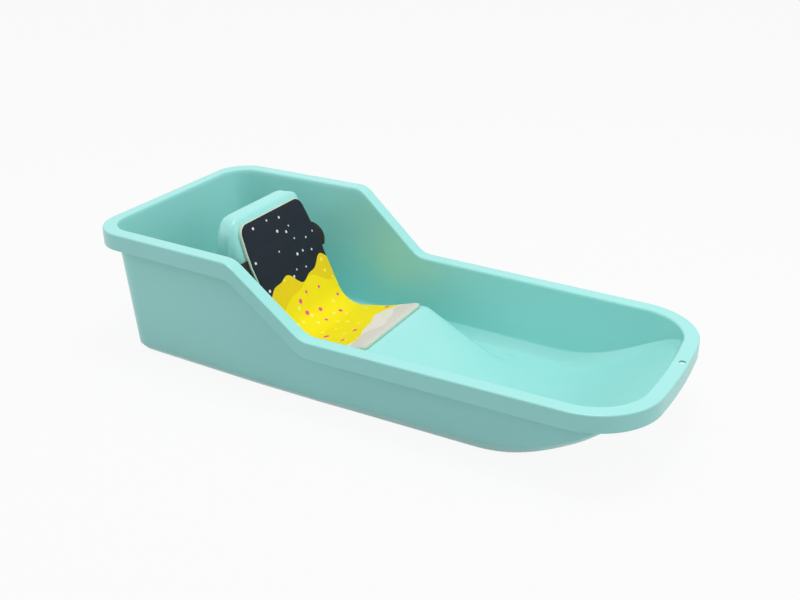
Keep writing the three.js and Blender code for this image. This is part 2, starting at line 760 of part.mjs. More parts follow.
const slotTool = (start, end) => boxBetween(-webSlotHalfWidth, webSlotHalfWidth, start, end, 0, 2 * buckleMiddle);
const barReliefs = (start, end) => [
  boxBetween(-webSlotHalfWidth, webSlotHalfWidth, start, end, 0, buckleMiddle - webBarThickness / 2),
  boxBetween(-webSlotHalfWidth, webSlotHalfWidth, start, end, buckleMiddle + webBarThickness / 2, 2 * buckleMiddle),
];

function buckleSocket() {
  const body = plate(roundedOutline(buckleHalfWidth, socketEnd, buckleMouthAcross, buckleCorner), buckleThickness);
  const low = buckleMiddle - socketCavityThickness / 2;
  const high = buckleMiddle + socketCavityThickness / 2;
  const slotStart = socketEnd + webBarLength;
  return cut(
    body,
    boxBetween(
      -socketCavityHalfWidth, socketCavityHalfWidth,
      buckleMouthAcross - socketCavityLength, buckleMouthAcross + cutOverrun, low, high,
    ),
    boxBetween(
      -buckleHalfWidth - cutOverrun, buckleHalfWidth + cutOverrun,
      buckleMouthAcross - windowEnd, buckleMouthAcross - windowStart, low, high,
    ),
    slotTool(slotStart, slotStart + webSlotLength),
    ...barReliefs(socketEnd - cutOverrun, slotStart),
  );
}

function bucklePlug() {
  const start = buckleMouthAcross + runningGap;
  const slotEnd = plugEnd - webBarLength;
  const body = plate(roundedOutline(plugHalfWidth, start, plugEnd, buckleCorner), plugThickness);
  const tongue = new THREE.Shape([
    new THREE.Vector2(-tongueHalfWidth, start + cutOverrun),
    new THREE.Vector2(-tongueHalfWidth, buckleMouthAcross - tongueLength + tongueTaper),
    new THREE.Vector2(tongueTaper - tongueHalfWidth, buckleMouthAcross - tongueLength),
    new THREE.Vector2(tongueHalfWidth - tongueTaper, buckleMouthAcross - tongueLength),
    new THREE.Vector2(tongueHalfWidth, buckleMouthAcross - tongueLength + tongueTaper),
    new THREE.Vector2(tongueHalfWidth, start + cutOverrun),
  ]);
  return cut(
    join(body, plate(tongue, prongThickness)),
    slotTool(slotEnd - webSlotLength, slotEnd),
    ...barReliefs(slotEnd, plugEnd + cutOverrun),
  );
}

// A sprung arm of the plug, pivoting at its root, with the catch and the finger pad in the socket's window
const prongPivot = buckleMouthAcross + runningGap - restGap - prongHalfArm;
function buckleProng(side) {
  const outer = prongAcross + prongHalfArm;
  const inner = prongAcross - prongHalfArm;
  const catchAt = buckleMouthAcross - windowStart - runningGap;
  const padEnd = buckleMouthAcross - windowEnd + runningGap;
  const tip = buckleMouthAcross - prongLength;
  const catchOut = socketCavityHalfWidth + prongCatch;
  const outline = new THREE.Shape();
  outline.moveTo(inner, prongPivot);
  outline.absarc(prongAcross, prongPivot, prongHalfArm, Math.PI, 0, true);
  outline.lineTo(outer, catchAt + runningGap);
  outline.lineTo(catchOut, catchAt);
  outline.quadraticCurveTo(catchOut + prongPadReach, (catchAt + padEnd) / 2, socketCavityHalfWidth - runningGap, padEnd);
  outline.lineTo(outer, tip);
  outline.lineTo(prongAcross, tip);
  outline.lineTo(inner, padEnd);
  outline.closePath();
  const geometry = plate(outline, prongThickness);
  if (side < 0) {
    geometry.rotateZ(Math.PI);
    geometry.rotateX(Math.PI);
    geometry.translate(0, 0, 2 * buckleMiddle);
  }
  return geometry;
}

function beltKeeper() {
  const innerHalf = beltWidth / 2 + keeperClearance;
  const low = beltLayerOut - keeperClearance;
  const high = beltLayerOut + 2 * beltThickness + restGap + keeperClearance;
  const loop = boxBetween(
    -innerHalf - keeperWall, innerHalf + keeperWall, keeperAcross - keeperLength / 2, keeperAcross + keeperLength / 2,
    low - keeperWall, high + keeperWall,
  );
  const space = boxBetween(
    -innerHalf, innerHalf, keeperAcross - keeperLength, keeperAcross + keeperLength, low, high,
  );
  return cut(loop, space);
}

const finish = (color, roughness) => new THREE.MeshStandardMaterial({ color, roughness, metalness: 0 });
const tubPlastic = finish(0x8fd6ce, 0.35);
const padFoam = finish(0xdfe6d8, 0.95);
const padCover = finish(0x242d3a, 0.8);
const beltFabric = finish(0x221f1f, 0.9);
const bucklePlastic = finish(0x1b1b1d, 0.4);
const keeperElastic = finish(0x262323, 0.85);

const sled = new THREE.Group();
function addPart(name, geometry, material) {
  const mesh = new THREE.Mesh(geometry, material);
  mesh.name = name;
  sled.add(mesh);
}

const foamTop = restGap + foamThickness;
addPart('tub', cut(tubShell(), towHole()), tubPlastic);
addPart('pad_foam', padSheet(0, restGap, foamTop, true), padFoam);
addPart('pad_cover', padSheet(coverInset, foamTop + restGap, foamTop + restGap + coverThickness, false), padCover);
addPart('belt_webbing', beltWebbing(), beltFabric);
addPart('buckle_socket', buckleSocket().applyMatrix4(buckleFrame), bucklePlastic);
addPart('buckle_plug', bucklePlug().applyMatrix4(buckleFrame), bucklePlastic);
addPart('buckle_prong_upper', buckleProng(1).applyMatrix4(buckleFrame), bucklePlastic);
addPart('buckle_prong_lower', buckleProng(-1).applyMatrix4(buckleFrame), bucklePlastic);
addPart('belt_keeper', beltKeeper().applyMatrix4(buckleFrame), keeperElastic);

sled.position.x = -overallLength / 2;
export default sled;
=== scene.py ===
import bpy
import bmesh
import math
from mathutils import Matrix, Vector


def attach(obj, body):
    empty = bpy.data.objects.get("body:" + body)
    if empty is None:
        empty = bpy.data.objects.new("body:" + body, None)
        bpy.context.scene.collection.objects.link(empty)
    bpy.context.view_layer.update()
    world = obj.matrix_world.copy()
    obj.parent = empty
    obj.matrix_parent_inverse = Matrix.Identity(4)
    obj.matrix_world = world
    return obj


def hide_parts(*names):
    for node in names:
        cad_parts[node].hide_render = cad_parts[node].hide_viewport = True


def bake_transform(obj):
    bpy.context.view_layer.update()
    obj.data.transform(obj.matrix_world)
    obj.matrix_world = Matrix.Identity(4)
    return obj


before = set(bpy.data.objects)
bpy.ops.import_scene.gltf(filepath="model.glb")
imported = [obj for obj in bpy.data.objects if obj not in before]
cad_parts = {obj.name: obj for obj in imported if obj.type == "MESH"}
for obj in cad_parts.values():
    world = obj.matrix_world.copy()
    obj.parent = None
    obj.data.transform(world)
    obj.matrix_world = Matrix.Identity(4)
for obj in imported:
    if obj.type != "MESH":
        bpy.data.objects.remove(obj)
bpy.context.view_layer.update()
print("frame loaded")

mm = 0.001
quarterTurn = math.pi / 2
mergeDistance = 0.00001


# Numbers and curves

def mix(a, b, share):
    return a + (b - a) * share


def clamp(value, low=0.0, high=1.0):
    return min(max(value, low), high)


def ease(value, low, high):
    share = clamp((value - low) / (high - low))
    return share * share * (3 - 2 * share)


def alongPairs(pairs, at):
    # the value at a place, straight between the pairs
    if at <= pairs[0][0]:
        return pairs[0][1]
    for (x0, v0), (x1, v1) in zip(pairs, pairs[1:]):
        if at <= x1:
            return mix(v0, v1, (at - x0) / (x1 - x0))
    return pairs[-1][1]


def easedPairs(pairs, at, reach, weights):
    # the same with its kinks eased: the mean of five places within the reach
    values = [weight * alongPairs(pairs, at + reach * (k / 2 - 1)) for k, weight in enumerate(weights)]
    return sum(values) / sum(weights)


def cubic(t, a, b, c, d):
    return (1 - t) ** 3 * a + 3 * t * (1 - t) ** 2 * b + 3 * t * t * (1 - t) * c + t ** 3 * d


def cubicSlope(t, a, b, c, d):
    return 3 * (1 - t) ** 2 * (b - a) + 6 * t * (1 - t) * (c - b) + 3 * t * t * (d - c)


# Steps that every piece shares

def deselectAll():
    if bpy.context.mode != "OBJECT":
        bpy.ops.object.mode_set(mode="OBJECT")
    bpy.ops.object.select_all(action="DESELECT")


def makeActive(piece):
    deselectAll()
    piece.select_set(True)
    bpy.context.view_layer.objects.active = piece


def applyModifiers(piece):
    makeActive(piece)
    for modifier in list(piece.modifiers):
        bpy.ops.object.modifier_apply(modifier=modifier.name)


def smoothByAngle(piece, angle):
    makeActive(piece)
    bpy.ops.object.shade_smooth_by_angle(angle=math.radians(angle))


def roundEdges(piece, width, segments=2, limit=50, smooth=40):
    # rounds the edges that turn by more than the limit, in degrees
    edge = piece.modifiers.new("edge", "BEVEL")
    edge.width = width * mm
    edge.segments = segments
    edge.limit_method = "ANGLE"
    edge.angle_limit = math.radians(limit)
    applyModifiers(piece)
    smoothByAngle(piece, smooth)


def editWhole(piece, *steps):
    # each step works on the whole mesh
    makeActive(piece)
    bpy.ops.object.mode_set(mode="EDIT")
    for step in steps:
        bpy.ops.mesh.select_all(action="SELECT")
        step()
    bpy.ops.object.mode_set(mode="OBJECT")


def mergeDoubles():
    bpy.ops.mesh.remove_doubles(threshold=mergeDistance)


def joinFlatFaces():
    bpy.ops.mesh.dissolve_limited(angle_limit=math.radians(1))


def deleteInnerFaces():
    bpy.ops.mesh.select_all(action="DESELECT")
    bpy.ops.mesh.select_interior_faces()
    bpy.ops.mesh.delete(type="FACE")


def pointOutwards():
    bpy.ops.mesh.normals_make_consistent(inside=False)


def joinPieces(pieces, name):
    deselectAll()
    for piece in pieces:
        piece.select_set(True)
    bpy.context.view_layer.objects.active = pieces[0]
    bpy.ops.object.join()
    joined = bpy.context.object
    joined.name = name
    return joined


def finishPiece(piece, body, nodes, material):
    piece.data.name = piece.name
    piece.data.materials.clear()
    piece.data.materials.append(material)
    if body:
        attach(piece, body)
    if nodes:
        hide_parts(*nodes)


# Paths and sheets, in millimetres

def headingOf(a, b):
    return math.atan2(b[1] - a[1], b[0] - a[0])


def distanceOf(a, b):
    return math.hypot(b[0] - a[0], b[1] - a[1])


def roundedPath(corners):
    # each corner is (x, z, radius, steps); points come back as (x, z, nx, nz) with their left-hand normals
    points = []
    for i, here in enumerate(corners):
        if i == 0 or i == len(corners) - 1:
            angle = headingOf(here, corners[1]) if i == 0 else headingOf(corners[i - 1], here)
            points.append((here[0], here[1], -math.sin(angle), math.cos(angle)))
            continue
        start = headingOf(corners[i - 1], here)
        turn = headingOf(here, corners[i + 1]) - start
        turn = math.atan2(math.sin(turn), math.cos(turn))
        radius, steps = here[2], here[3]
        reach = radius * math.tan(abs(turn) / 2)
        side = math.copysign(radius, turn)
        cx = here[0] - reach * math.cos(start) - side * math.sin(start)
        cz = here[1] - reach * math.sin(start) + side * math.cos(start)
        for k in range(steps + 1):
            angle = start + turn * k / steps
            nx, nz = -math.sin(angle), math.cos(angle)
            points.append((cx - side * nx, cz - side * nz, nx, nz))
    return points


def pointBetween(a, b, share):
    x, z, nx, nz = [mix(first, second, share) for first, second in zip(a, b)]
    length = math.hypot(nx, nz)
    return x, z, nx / length, nz / length


def refined(path, longest):
    # more points on the straight stretches
    points = [path[0]]
    for a, b in zip(path, path[1:]):
        count = max(1, math.ceil(distanceOf(a, b) / longest))
        points += [pointBetween(a, b, k / count) for k in range(1, count + 1)]
    return points


def pathLengths(path):
    lengths = [0.0]
    for a, b in zip(path, path[1:]):
        lengths.append(lengths[-1] + distanceOf(a, b))
    return lengths


def alongPath(path, lengths, distance):
    i = next((i for i in range(1, len(path)) if distance <= lengths[i]), len(path) - 1)
    return pointBetween(path[i - 1], path[i], (distance - lengths[i - 1]) / (lengths[i] - lengths[i - 1]))


def place(x, y, z):
    # from the CAD's places along the sled, counted from the stern in millimetres
    return Vector(((x - tub["length"] / 2) * mm, y * mm, z * mm))


def keyOf(point):
    return tuple(round(value, 7) for value in point)


def movesBetween(gridA, gridB):
    return {keyOf(a): b for rowA, rowB in zip(gridA, gridB) for a, b in zip(rowA, rowB)}


def addRow(grids, row):
    # a sheet with a thickness has a grid of lower points, one of upper points and mostly one for its UV map
    for grid, entries in zip(grids, zip(*row)):
        grid.append(list(entries))


def addSheet(name, points):
    rows, columns = len(points), len(points[0])
    deselectAll()
    bpy.ops.mesh.primitive_grid_add(x_subdivisions=rows - 1, y_subdivisions=columns - 1, size=1)
    piece = bpy.context.object
    piece.name = name
    for vertex in piece.data.vertices:
        row = round((vertex.co.x + 0.5) * (rows - 1))
        column = round((vertex.co.y + 0.5) * (columns - 1))
        vertex.co = points[row][column]
    return piece


def setSheetMap(piece, points, places):
    # the piece's own UV map, in metres along and across the sheet
    lookup = movesBetween(points, places)
    uvLayer = piece.data.uv_layers.active
    for loop in piece.data.loops:
        uvLayer.data[loop.index].uv = lookup[keyOf(piece.data.vertices[loop.vertex_index].co)]


def extrudeTo(piece, chooser, operator, moves):
    # what the chooser selects is extruded, and each new vertex goes where moves sends the old one
    makeActive(piece)
    bpy.ops.object.mode_set(mode="EDIT")
    bpy.ops.mesh.select_all(action="DESELECT")
    chooser()
    operator()
    shape = bmesh.from_edit_mesh(piece.data)
    for vertex in shape.verts:
        if vertex.select:
            vertex.co = moves[keyOf(vertex.co)]
    bmesh.update_edit_mesh(piece.data)
    bpy.ops.object.mode_set(mode="OBJECT")


def selectOpenEdges():
    bpy.ops.mesh.select_mode(type="EDGE")
    bpy.ops.mesh.select_non_manifold(extend=False, use_wire=False, use_boundary=True,
                                     use_multi_face=False, use_non_contiguous=False, use_verts=False)


def selectAllFaces():
    bpy.ops.mesh.select_mode(type="FACE")
    bpy.ops.mesh.select_all(action="SELECT")


def thicken(piece, lower, upper):
    # a sheet becomes a closed slab between two grids
    extrudeTo(piece, selectAllFaces, bpy.ops.mesh.extrude_region_move, movesBetween(lower, upper))
    editWhole(piece, pointOutwards)


# Shaders: sums on sockets are written as Python expressions

def feed(socket, value):
    # an amount is linked and a plain value is set
    if isinstance(value, Amount):
        socket.id_data.links.new(value.socket, socket)
    else:
        socket.default_value = value


def mathsNode(operation, reflected=False):
    # a method of an amount, which adds one Math node
    def method(amount, *others):
        node = amount.socket.id_data.nodes.new("ShaderNodeMath")
        node.operation = operation
        terms = (*others, amount) if reflected else (amount, *others)
        for socket, term in zip(node.inputs, terms):
            feed(socket, term)
        return Amount(node.outputs[0])
    return method


class Amount:
    __add__ = mathsNode("ADD")
    __radd__ = mathsNode("ADD", True)
    __sub__ = mathsNode("SUBTRACT")
    __rsub__ = mathsNode("SUBTRACT", True)
    __mul__ = mathsNode("MULTIPLY")
    __rmul__ = mathsNode("MULTIPLY", True)
    __truediv__ = mathsNode("DIVIDE")
    __rtruediv__ = mathsNode("DIVIDE", True)
    __gt__ = mathsNode("GREATER_THAN")
    __abs__ = mathsNode("ABSOLUTE")
    sine = mathsNode("SINE")
    most = mathsNode("MAXIMUM")
    least = mathsNode("MINIMUM")

    def __init__(self, socket):
        self.socket = socket

    def below(self, edge, blur):
        # 1 below the edge and 0 above it, over a narrow blur
        return ((edge - self) / blur + 0.5).most(0).least(1)


class Wiring:
    # the nodes of one material, or of the world
    def __init__(self, tree, outputKind):
        self.tree = tree
        tree.nodes.clear()
        self.output = tree.nodes.new(outputKind)

    def node(self, kind, settings, inputs, output=0):
        made = self.tree.nodes.new(kind)
        for name, value in settings.items():
            setattr(made, name, value)
        for name, value in inputs.items():
            feed(made.inputs[name], value)
        return Amount(made.outputs[output])

    def show(self, surface):
        feed(self.output.inputs["Surface"], surface)

    def seenRays(self):
        # 1 where the camera sees it, straight or in a shiny surface
        camera = self.node("ShaderNodeLightPath", {}, {}, "Is Camera Ray")
        return camera.most(self.node("ShaderNodeLightPath", {}, {}, "Is Glossy Ray"))


class Finish(Wiring):
    def __init__(self, name):
        self.material = bpy.data.materials.new(name)
        self.material.use_nodes = True
        super().__init__(self.material.node_tree, "ShaderNodeOutputMaterial")
        self.shader = self.tree.nodes.new("ShaderNodeBsdfPrincipled")
        self.lit = Amount(self.shader.outputs[0])
        self.show(self.lit)

    def places(self, kind="Object"):
        return self.node("ShaderNodeTexCoord", {}, {}, kind)

    def split(self, vector):
        parts = self.tree.nodes.new("ShaderNodeSeparateXYZ")
        feed(parts.inputs[0], vector)
        return [Amount(socket) for socket in parts.outputs]

    def noise(self, vector, scale, detail=2.0, roughness=0.5):
        values = {"Vector": vector, "Scale": scale, "Detail": detail, "Roughness": roughness}
        return self.node("ShaderNodeTexNoise", {}, values)

    def blend(self, factor, first, second):
        return self.node("ShaderNodeMix", {"data_type": "RGBA"}, {0: factor, 6: first, 7: second}, 2)

    def bump(self, height, distance, strength=1.0):
        return self.node("ShaderNodeBump", {}, {"Height": height, "Distance": distance, "Strength": strength})

    def shade(self, **values):
        for name, value in values.items():
            feed(self.shader.inputs[name.replace("_", " ")], value)
        return self.material


def tone(red, green, blue):
    # a colour as seen on screen, 0 to 255, made linear for the shader
    linear = [c / 255 / 12.92 if c <= 10 else ((c / 255 + 0.055) / 1.055) ** 2.4 for c in (red, green, blue)]
    return (*linear, 1)


# Camera, lamps, floor and backdrop

studio = {
    "cameraPlace": (0.7253, -1.2804, 0.8242),
    "azimuth": 29.4,
    "elevation": 25.4,
    "lens": 46.59,
    "sensor": 36,
    "nearest": 0.05,
    "roomLight": 0.56,
    "roomColor": (0.94, 0.98, 1, 1),
    "shownColor": (1, 1, 1, 1),
    "floorSize": 14,
    "floorColor": (0.55, 0.56, 0.56, 1),
    "floorRoughness": 0.8,
    "floorWhite": 0.92,
}
# each lamp's name, place, target, size, power and tint
lamps = [
    ("keyLamp", (-1.5, -1.2, 0.95), (0, 0, 0.1), 1.3, 3.7, (1, 0.96, 0.88)),
    ("fillLamp", (2.2, 0.5, 1.5), (0, 0, 0.1), 1.6, 11, (1, 0.97, 0.92)),
    ("topLamp", (0.3, 0, 2.4), (0, 0, 0), 0.9, 27, (0.97, 0.99, 1)),
]


def addCamera():
    azimuth, elevation = math.radians(studio["azimuth"]), math.radians(studio["elevation"])
    level = math.cos(elevation)
    forward = Vector((-math.sin(azimuth) * level, math.cos(azimuth) * level, -math.sin(elevation)))
    deselectAll()
    turned = forward.to_track_quat("-Z", "Y").to_euler()
    bpy.ops.object.camera_add(location=studio["cameraPlace"], rotation=turned)
    camera = bpy.context.object
    camera.name = "photoCamera"
    camera.data.sensor_width = studio["sensor"]
    camera.data.lens = studio["lens"]
    camera.data.clip_start = studio["nearest"]
    bpy.context.scene.camera = camera
    bpy.context.scene.view_settings.view_transform = "Standard"


def addLamp(name, spot, target, size, power, tint):
    deselectAll()
    bpy.ops.object.light_add(type="AREA", location=spot)
    lamp = bpy.context.object
    lamp.name = name
    lamp.data.shape = "DISK"
    lamp.data.size = size
    lamp.data.energy = power
    lamp.data.color = tint
    lamp.rotation_euler = (Vector(target) - Vector(spot)).to_track_quat("-Z", "Y").to_euler()


def addRoom():
    world = bpy.data.worlds.new("paleRoom")
    bpy.context.scene.world = world
    world.use_nodes = True
    room = Wiring(world.node_tree, "ShaderNodeOutputWorld")
    values = {"Color": studio["roomColor"], "Strength": studio["roomLight"]}
    light = room.node("ShaderNodeBackground", {}, values)
    shown = room.node("ShaderNodeBackground", {}, {"Color": studio["shownColor"]})
    room.show(room.node("ShaderNodeMixShader", {}, {"Fac": room.seenRays(), 1: light, 2: shown}))


def addFloor():
    deselectAll()
    bpy.ops.mesh.primitive_plane_add(size=studio["floorSize"], location=(0, 0, 0))
    floor = bpy.context.object
    floor.name = "paleFloor"
    finish = Finish("paleFloorWhite")
    finish.shade(Base_Color=studio["floorColor"], Roughness=studio["floorRoughness"])
    glow = finish.node("ShaderNodeEmission", {}, {"Color": studio["shownColor"]})
    seen = finish.seenRays() * studio["floorWhite"]
    finish.show(finish.node("ShaderNodeMixShader", {}, {"Fac": seen, 1: finish.lit, 2: glow}))
    floor.data.materials.append(finish.material)


# Finishes, with sizes in metres and noise scales per metre

tubFinish = {
    "color": tone(161, 226, 221),
    "deepColor": tone(151, 219, 213),
    "scuffColor": tone(196, 236, 230),
    "roughness": 0.3,
    "cloudScale": 9,
    "waveScale": 26,
    "grainScale": 1500,
    "grainDepth": 0.00005,
    "scratchScale": (3, 260, 60),
    "keelTop": 0.0012,
    "keelBlur": 0.002,
}


def makeTubPlastic():
    finish = Finish("mouldedTurquoise")
    where = finish.places()
    clouds = finish.noise(where, tubFinish["cloudScale"], 3)
    grain = finish.noise(where, tubFinish["grainScale"])
    waves = finish.noise(where, tubFinish["waveScale"])
    # the keel is scuffed along the way the sled slides
    along = finish.node("ShaderNodeMapping", {}, {"Vector": where, "Scale": tubFinish["scratchScale"]})
    scratches = finish.noise(along, 1, 4, 0.7)
    keel = finish.split(where)[2].below(tubFinish["keelTop"], tubFinish["keelBlur"])
    scuff = keel * (1 - scratches.below(0.56, 0.08))
    color = finish.blend(clouds * 0.5, tubFinish["color"], tubFinish["deepColor"])
    color = finish.blend(scuff * 0.5, color, tubFinish["scuffColor"])
    height = grain * 0.5 + waves - scuff * 1.5
    return finish.shade(
        Base_Color=color,
        Roughness=tubFinish["roughness"] + (clouds - 0.5) * 0.05 + scuff * 0.25,
        Normal=finish.bump(height, tubFinish["grainDepth"], 0.6),
        IOR=1.5,
    )


foamFinish = {
    "color": tone(214, 226, 208),
    "deepColor": tone(198, 212, 192),
    "roughness": 0.85,
    "cellScale": 1400,
    "cellDepth": 0.0002,
    "mottleScale": 60,
}


def makeFoam():
    finish = Finish("closedCellFoam")
    where = finish.places()
    cells = finish.node("ShaderNodeTexVoronoi", {}, {"Vector": where, "Scale": foamFinish["cellScale"]})
    mottle = finish.noise(where, foamFinish["mottleScale"], 3)
    return finish.shade(
        Base_Color=finish.blend(mottle, foamFinish["color"], foamFinish["deepColor"]),
        Roughness=foamFinish["roughness"] + mottle * 0.1,
        Normal=finish.bump(cells, foamFinish["cellDepth"], 0.6),
    )


# the printed face: dots are (pitch, radius, share of the cells, jitter), and edges are
# (place along the pad, wave height, turn, start)
pattern = {
    "ground": tone(17, 28, 40),
    "flake": tone(222, 226, 224),
    "farHill": tone(236, 206, 4),
    "hill": tone(246, 226, 0),
    "hillDot": tone(250, 240, 96),
    "berry": tone(232, 96, 128),
    "drift": tone(236, 228, 218),
    "driftShade": tone(220, 213, 204),
    "wear": tone(120, 120, 116),
    "flakeDots": (0.024, 0.002, 0.45, 0.8),
    "farHillDots": (0.02, 0.0028, 0.4, 0.8),
    "hillDots": (0.022, 0.0032, 0.4, 0.7),
    "berryDots": (0.034, 0.0038, 0.6, 0.6),
    "farHillEdge": (0.118, 0.011, 58, 0.6),
    "hillEdge": (0.142, 0.012, 37, 4.1),
    "driftEdge": (0.305, 0.013, 36, 3.4),
    "driftShadeEdge": (0.326, 0.009, 52, 1.2),
    "blur": 0.0004,
    "weaveScale": 900,
    "threadTurn": 5200,
    "threadDepth": 0.00005,
}


def makePrint():
    # places are metres along the pad from its top edge, and metres across it
    finish = Finish("printedFabric")
    where = finish.places("UV")
    along, across = finish.split(where)[:2]

    def dotted(color, dots, dotColor):
        pitch, radius, chosen, jitter = dots
        settings = {"voronoi_dimensions": "2D", "feature": "F1"}
        values = {"Vector": where, "Scale": 1 / pitch, "Randomness": jitter}
        distance = finish.node("ShaderNodeTexVoronoi", settings, values, "Distance")
        cell = finish.split(finish.node("ShaderNodeTexVoronoi", settings, values, "Color"))
        dot = distance.below(radius / pitch * (cell[1] * 0.6 + 0.7), 0.02) * (cell[0] > 1 - chosen)
        return finish.blend(dot, color, dotColor)

    def past(spot, height, turn, start):
        # 1 past a wavy edge across the pad
        ripple = (across * turn * 2.3 + start * 2).sine() * height * 0.35
        edge = spot + (across * turn + start).sine() * height + ripple
        return 1 - along.below(edge, pattern["blur"])

    color = dotted(pattern["ground"], pattern["flakeDots"], pattern["flake"])
    farHill = dotted(pattern["farHill"], pattern["farHillDots"], pattern["hillDot"])
    hill = dotted(pattern["hill"], pattern["hillDots"], pattern["hillDot"])
    hill = dotted(hill, pattern["berryDots"], pattern["berry"])
    color = finish.blend(past(*pattern["farHillEdge"]), color, farHill)
    color = finish.blend(past(*pattern["hillEdge"]), color, hill)
    color = finish.blend(past(*pattern["driftEdge"]), color, pattern["drift"])
    color = finish.blend(past(*pattern["driftShadeEdge"]), color, pattern["driftShade"])
    weave = finish.noise(where, pattern["weaveScale"])
    threads = (along * pattern["threadTurn"]).sine() * (across * pattern["threadTurn"]).sine()
    return finish.shade(
        Base_Color=finish.blend(weave * 0.05, color, pattern["wear"]),
        Roughness=0.6 + weave * 0.2,
        Normal=finish.bump(threads + weave * 2, pattern["threadDepth"], 0.5),
        Specular_IOR_Level=0.2,
    )


webbingFinish = {
    "color": tone(40, 34, 32),
    # the deep colour is painted shade, put in the grooves of the weave
    "deepColor": tone(18, 15, 14),
    "dustColor": tone(54, 46, 40),
    "rib": 0.0019,
    "pick": 0.0011,
    "ribDepth": 0.00035,
    "fibreScale": 2600,
    "dustScale": 40,
}


def makeWebbing():
    finish = Finish("wovenWebbing")
    where = finish.places("UV")
    along, across = finish.split(where)[:2]
    wave = (across * (math.pi / webbingFinish["rib"])).sine()
    ribs = abs(wave)
    picks = (along * (2 * math.pi / webbingFinish["pick"]) + (wave > 0) * math.pi + ribs * 1.2).sine()
    fibre = finish.noise(where, webbingFinish["fibreScale"])
    dust = finish.noise(where, webbingFinish["dustScale"])
    # painted shade: the colour goes to the deep colour in the grooves between the ribs and picks, where the
    # bump is low, and is lighter on their tops
    color = finish.blend(ribs * 0.5 + picks * 0.2 + 0.2, webbingFinish["deepColor"], webbingFinish["color"])
    return finish.shade(
        Base_Color=finish.blend(dust * 0.2, color, webbingFinish["dustColor"]),
        Roughness=0.5 + fibre * 0.3,
        Normal=finish.bump(ribs + picks * 0.4 + fibre * 0.3, webbingFinish["ribDepth"], 0.7),
        Specular_IOR_Level=0.3,
    )


threadFinish = {
    "color": tone(112, 106, 102),
    # the deep colour is painted shade, put in the low spots of the twist
    "deepColor": tone(70, 66, 64),
    "roughness": 0.6,
    "twistScale": 4000,
    "twistDepth": 0.0001,
}


def makeThread():
    finish = Finish("sewingThread")
    twist = finish.noise(finish.places(), threadFinish["twistScale"])
    # painted shade: the twist noise that raises the bump also lightens the colour, so the low spots of the
    # twist are darker
    return finish.shade(
        Base_Color=finish.blend(twist, threadFinish["deepColor"], threadFinish["color"]),
        Roughness=threadFinish["roughness"],
        Normal=finish.bump(twist, threadFinish["twistDepth"], 0.5),
    )


nylonFinish = {
    "color": tone(50, 50, 53),
    "deepColor": tone(36, 36, 38),
    "roughness": 0.34,
    "grainScale": 3200,
    "grainDepth": 0.00004,
    "cloudScale": 70,
}


def makeNylon():
    finish = Finish("mouldedNylon")
    where = finish.places()
    grain = finish.noise(where, nylonFinish["grainScale"])
    cloud = finish.noise(where, nylonFinish["cloudScale"])
    return finish.shade(
        Base_Color=finish.blend(cloud, nylonFinish["deepColor"], nylonFinish["color"]),
        Roughness=nylonFinish["roughness"] + grain * 0.16,
        Normal=finish.bump(grain, nylonFinish["grainDepth"], 0.6),
    )


elasticFinish = {
    "color": tone(62, 57, 55),
    # the deep colour is painted shade, put between the ribs
    "deepColor": tone(24, 22, 22),
    "roughness": 0.6,
    "rib": 0.0012,
    "ribDepth": 0.0003,
    "fibreScale": 2600,
}


def makeElastic():
    finish = Finish("ribbedElastic")
    where = finish.places()
    ribs = abs((finish.split(where)[1] * (math.pi / elasticFinish["rib"])).sine())
    fibre = finish.noise(where, elasticFinish["fibreScale"])
    # painted shade: the colour goes to the deep colour between the ribs, where the bump is low, and is
    # lighter on the rib tops
    return finish.shade(
        Base_Color=finish.blend(ribs * 0.7, elasticFinish["deepColor"], elasticFinish["color"]),
        Roughness=elasticFinish["roughness"] + fibre * 0.2,
        Normal=finish.bump(ribs, elasticFinish["ribDepth"], 0.8),
    )


# The tub: one sheet from the floor out to the skirt, then given its wall

tub = {
    "length": 910,
    "sternHalf": 194,
    "beamHalf": 200,
    "waistHalf": 191.5,
    "bowHalf": 182,
    "sideEase": 14,
    "sternRim": 226,
    "bowRim": 125,
    "slopeTop": 280,
    "slopeFoot": 400,
    "kink": 11,
    "sternCorner": 60,
    "bowCorner": 107,
    "bowBulge": 3,
    "bandSide": 23.5,
    "bandStern": 18.5,
    "bandBow": 23,
    "innerSternCorner": 45,
    "edgeRound": 2.8,
    "outerRound": 2.2,
    "bandSupport": 0.78,
    "supportGap": 0.05,
    "skirtDepth": 27,
    "skirtSupport": 1.5,
    "wall": 3,
    "draft": math.tan(math.radians(4.5)),
    "fillet": 14,
    "creases": ((400, 14), (470, 19), (700, 19), (830, 9)),  # place along the sled, height over the floor
    "creasePower": 1.45,
    "creaseRoom": 0.6,
    "ramp": ((660, 0), (738, 0), (790, 38), (903, 118)),
    "towHole": 10,
    "towInset": 9,
    "towAcross": 20,
    "drill": 50,
    "smooth": 38,
}
seat = {
    "rearFoot": 157,
    "top": 240,
    "recline": math.tan(math.radians(24.7)),
    "topRound": 10,
    "toeRound": 8,
    "corner": (298, 38, 52),  # place along the sled, height and radius, as in the next three
    "bend": (388, 56, 100),
    "crest": (454, 78, 30),
    "toe": (602, 3, 120),
    "backHalf": 99,
    "seatHalf": 103,
    "topEdge": 36,
    "backEdge": 24,
    "seatEdge": 15,
    "edgeShare": 0.6,
    "levelLeast": 0.42,
    "sideToe": 7,
    "toeShare": 0.4,
    "floorGap": 4,
    "spread": (395, 450),
    "crestHalf": 106,
    "crestFoot": 134,
    "crestEdge": 18,
    "crestToe": 8,
    "rearCorner": 17,
    "cornerTurn": (0.4, 0.95),
    "cornerFade": (1.4, 2.4),
    "blendIn": (85, 150),
    "blendOut": (625, 700),
}
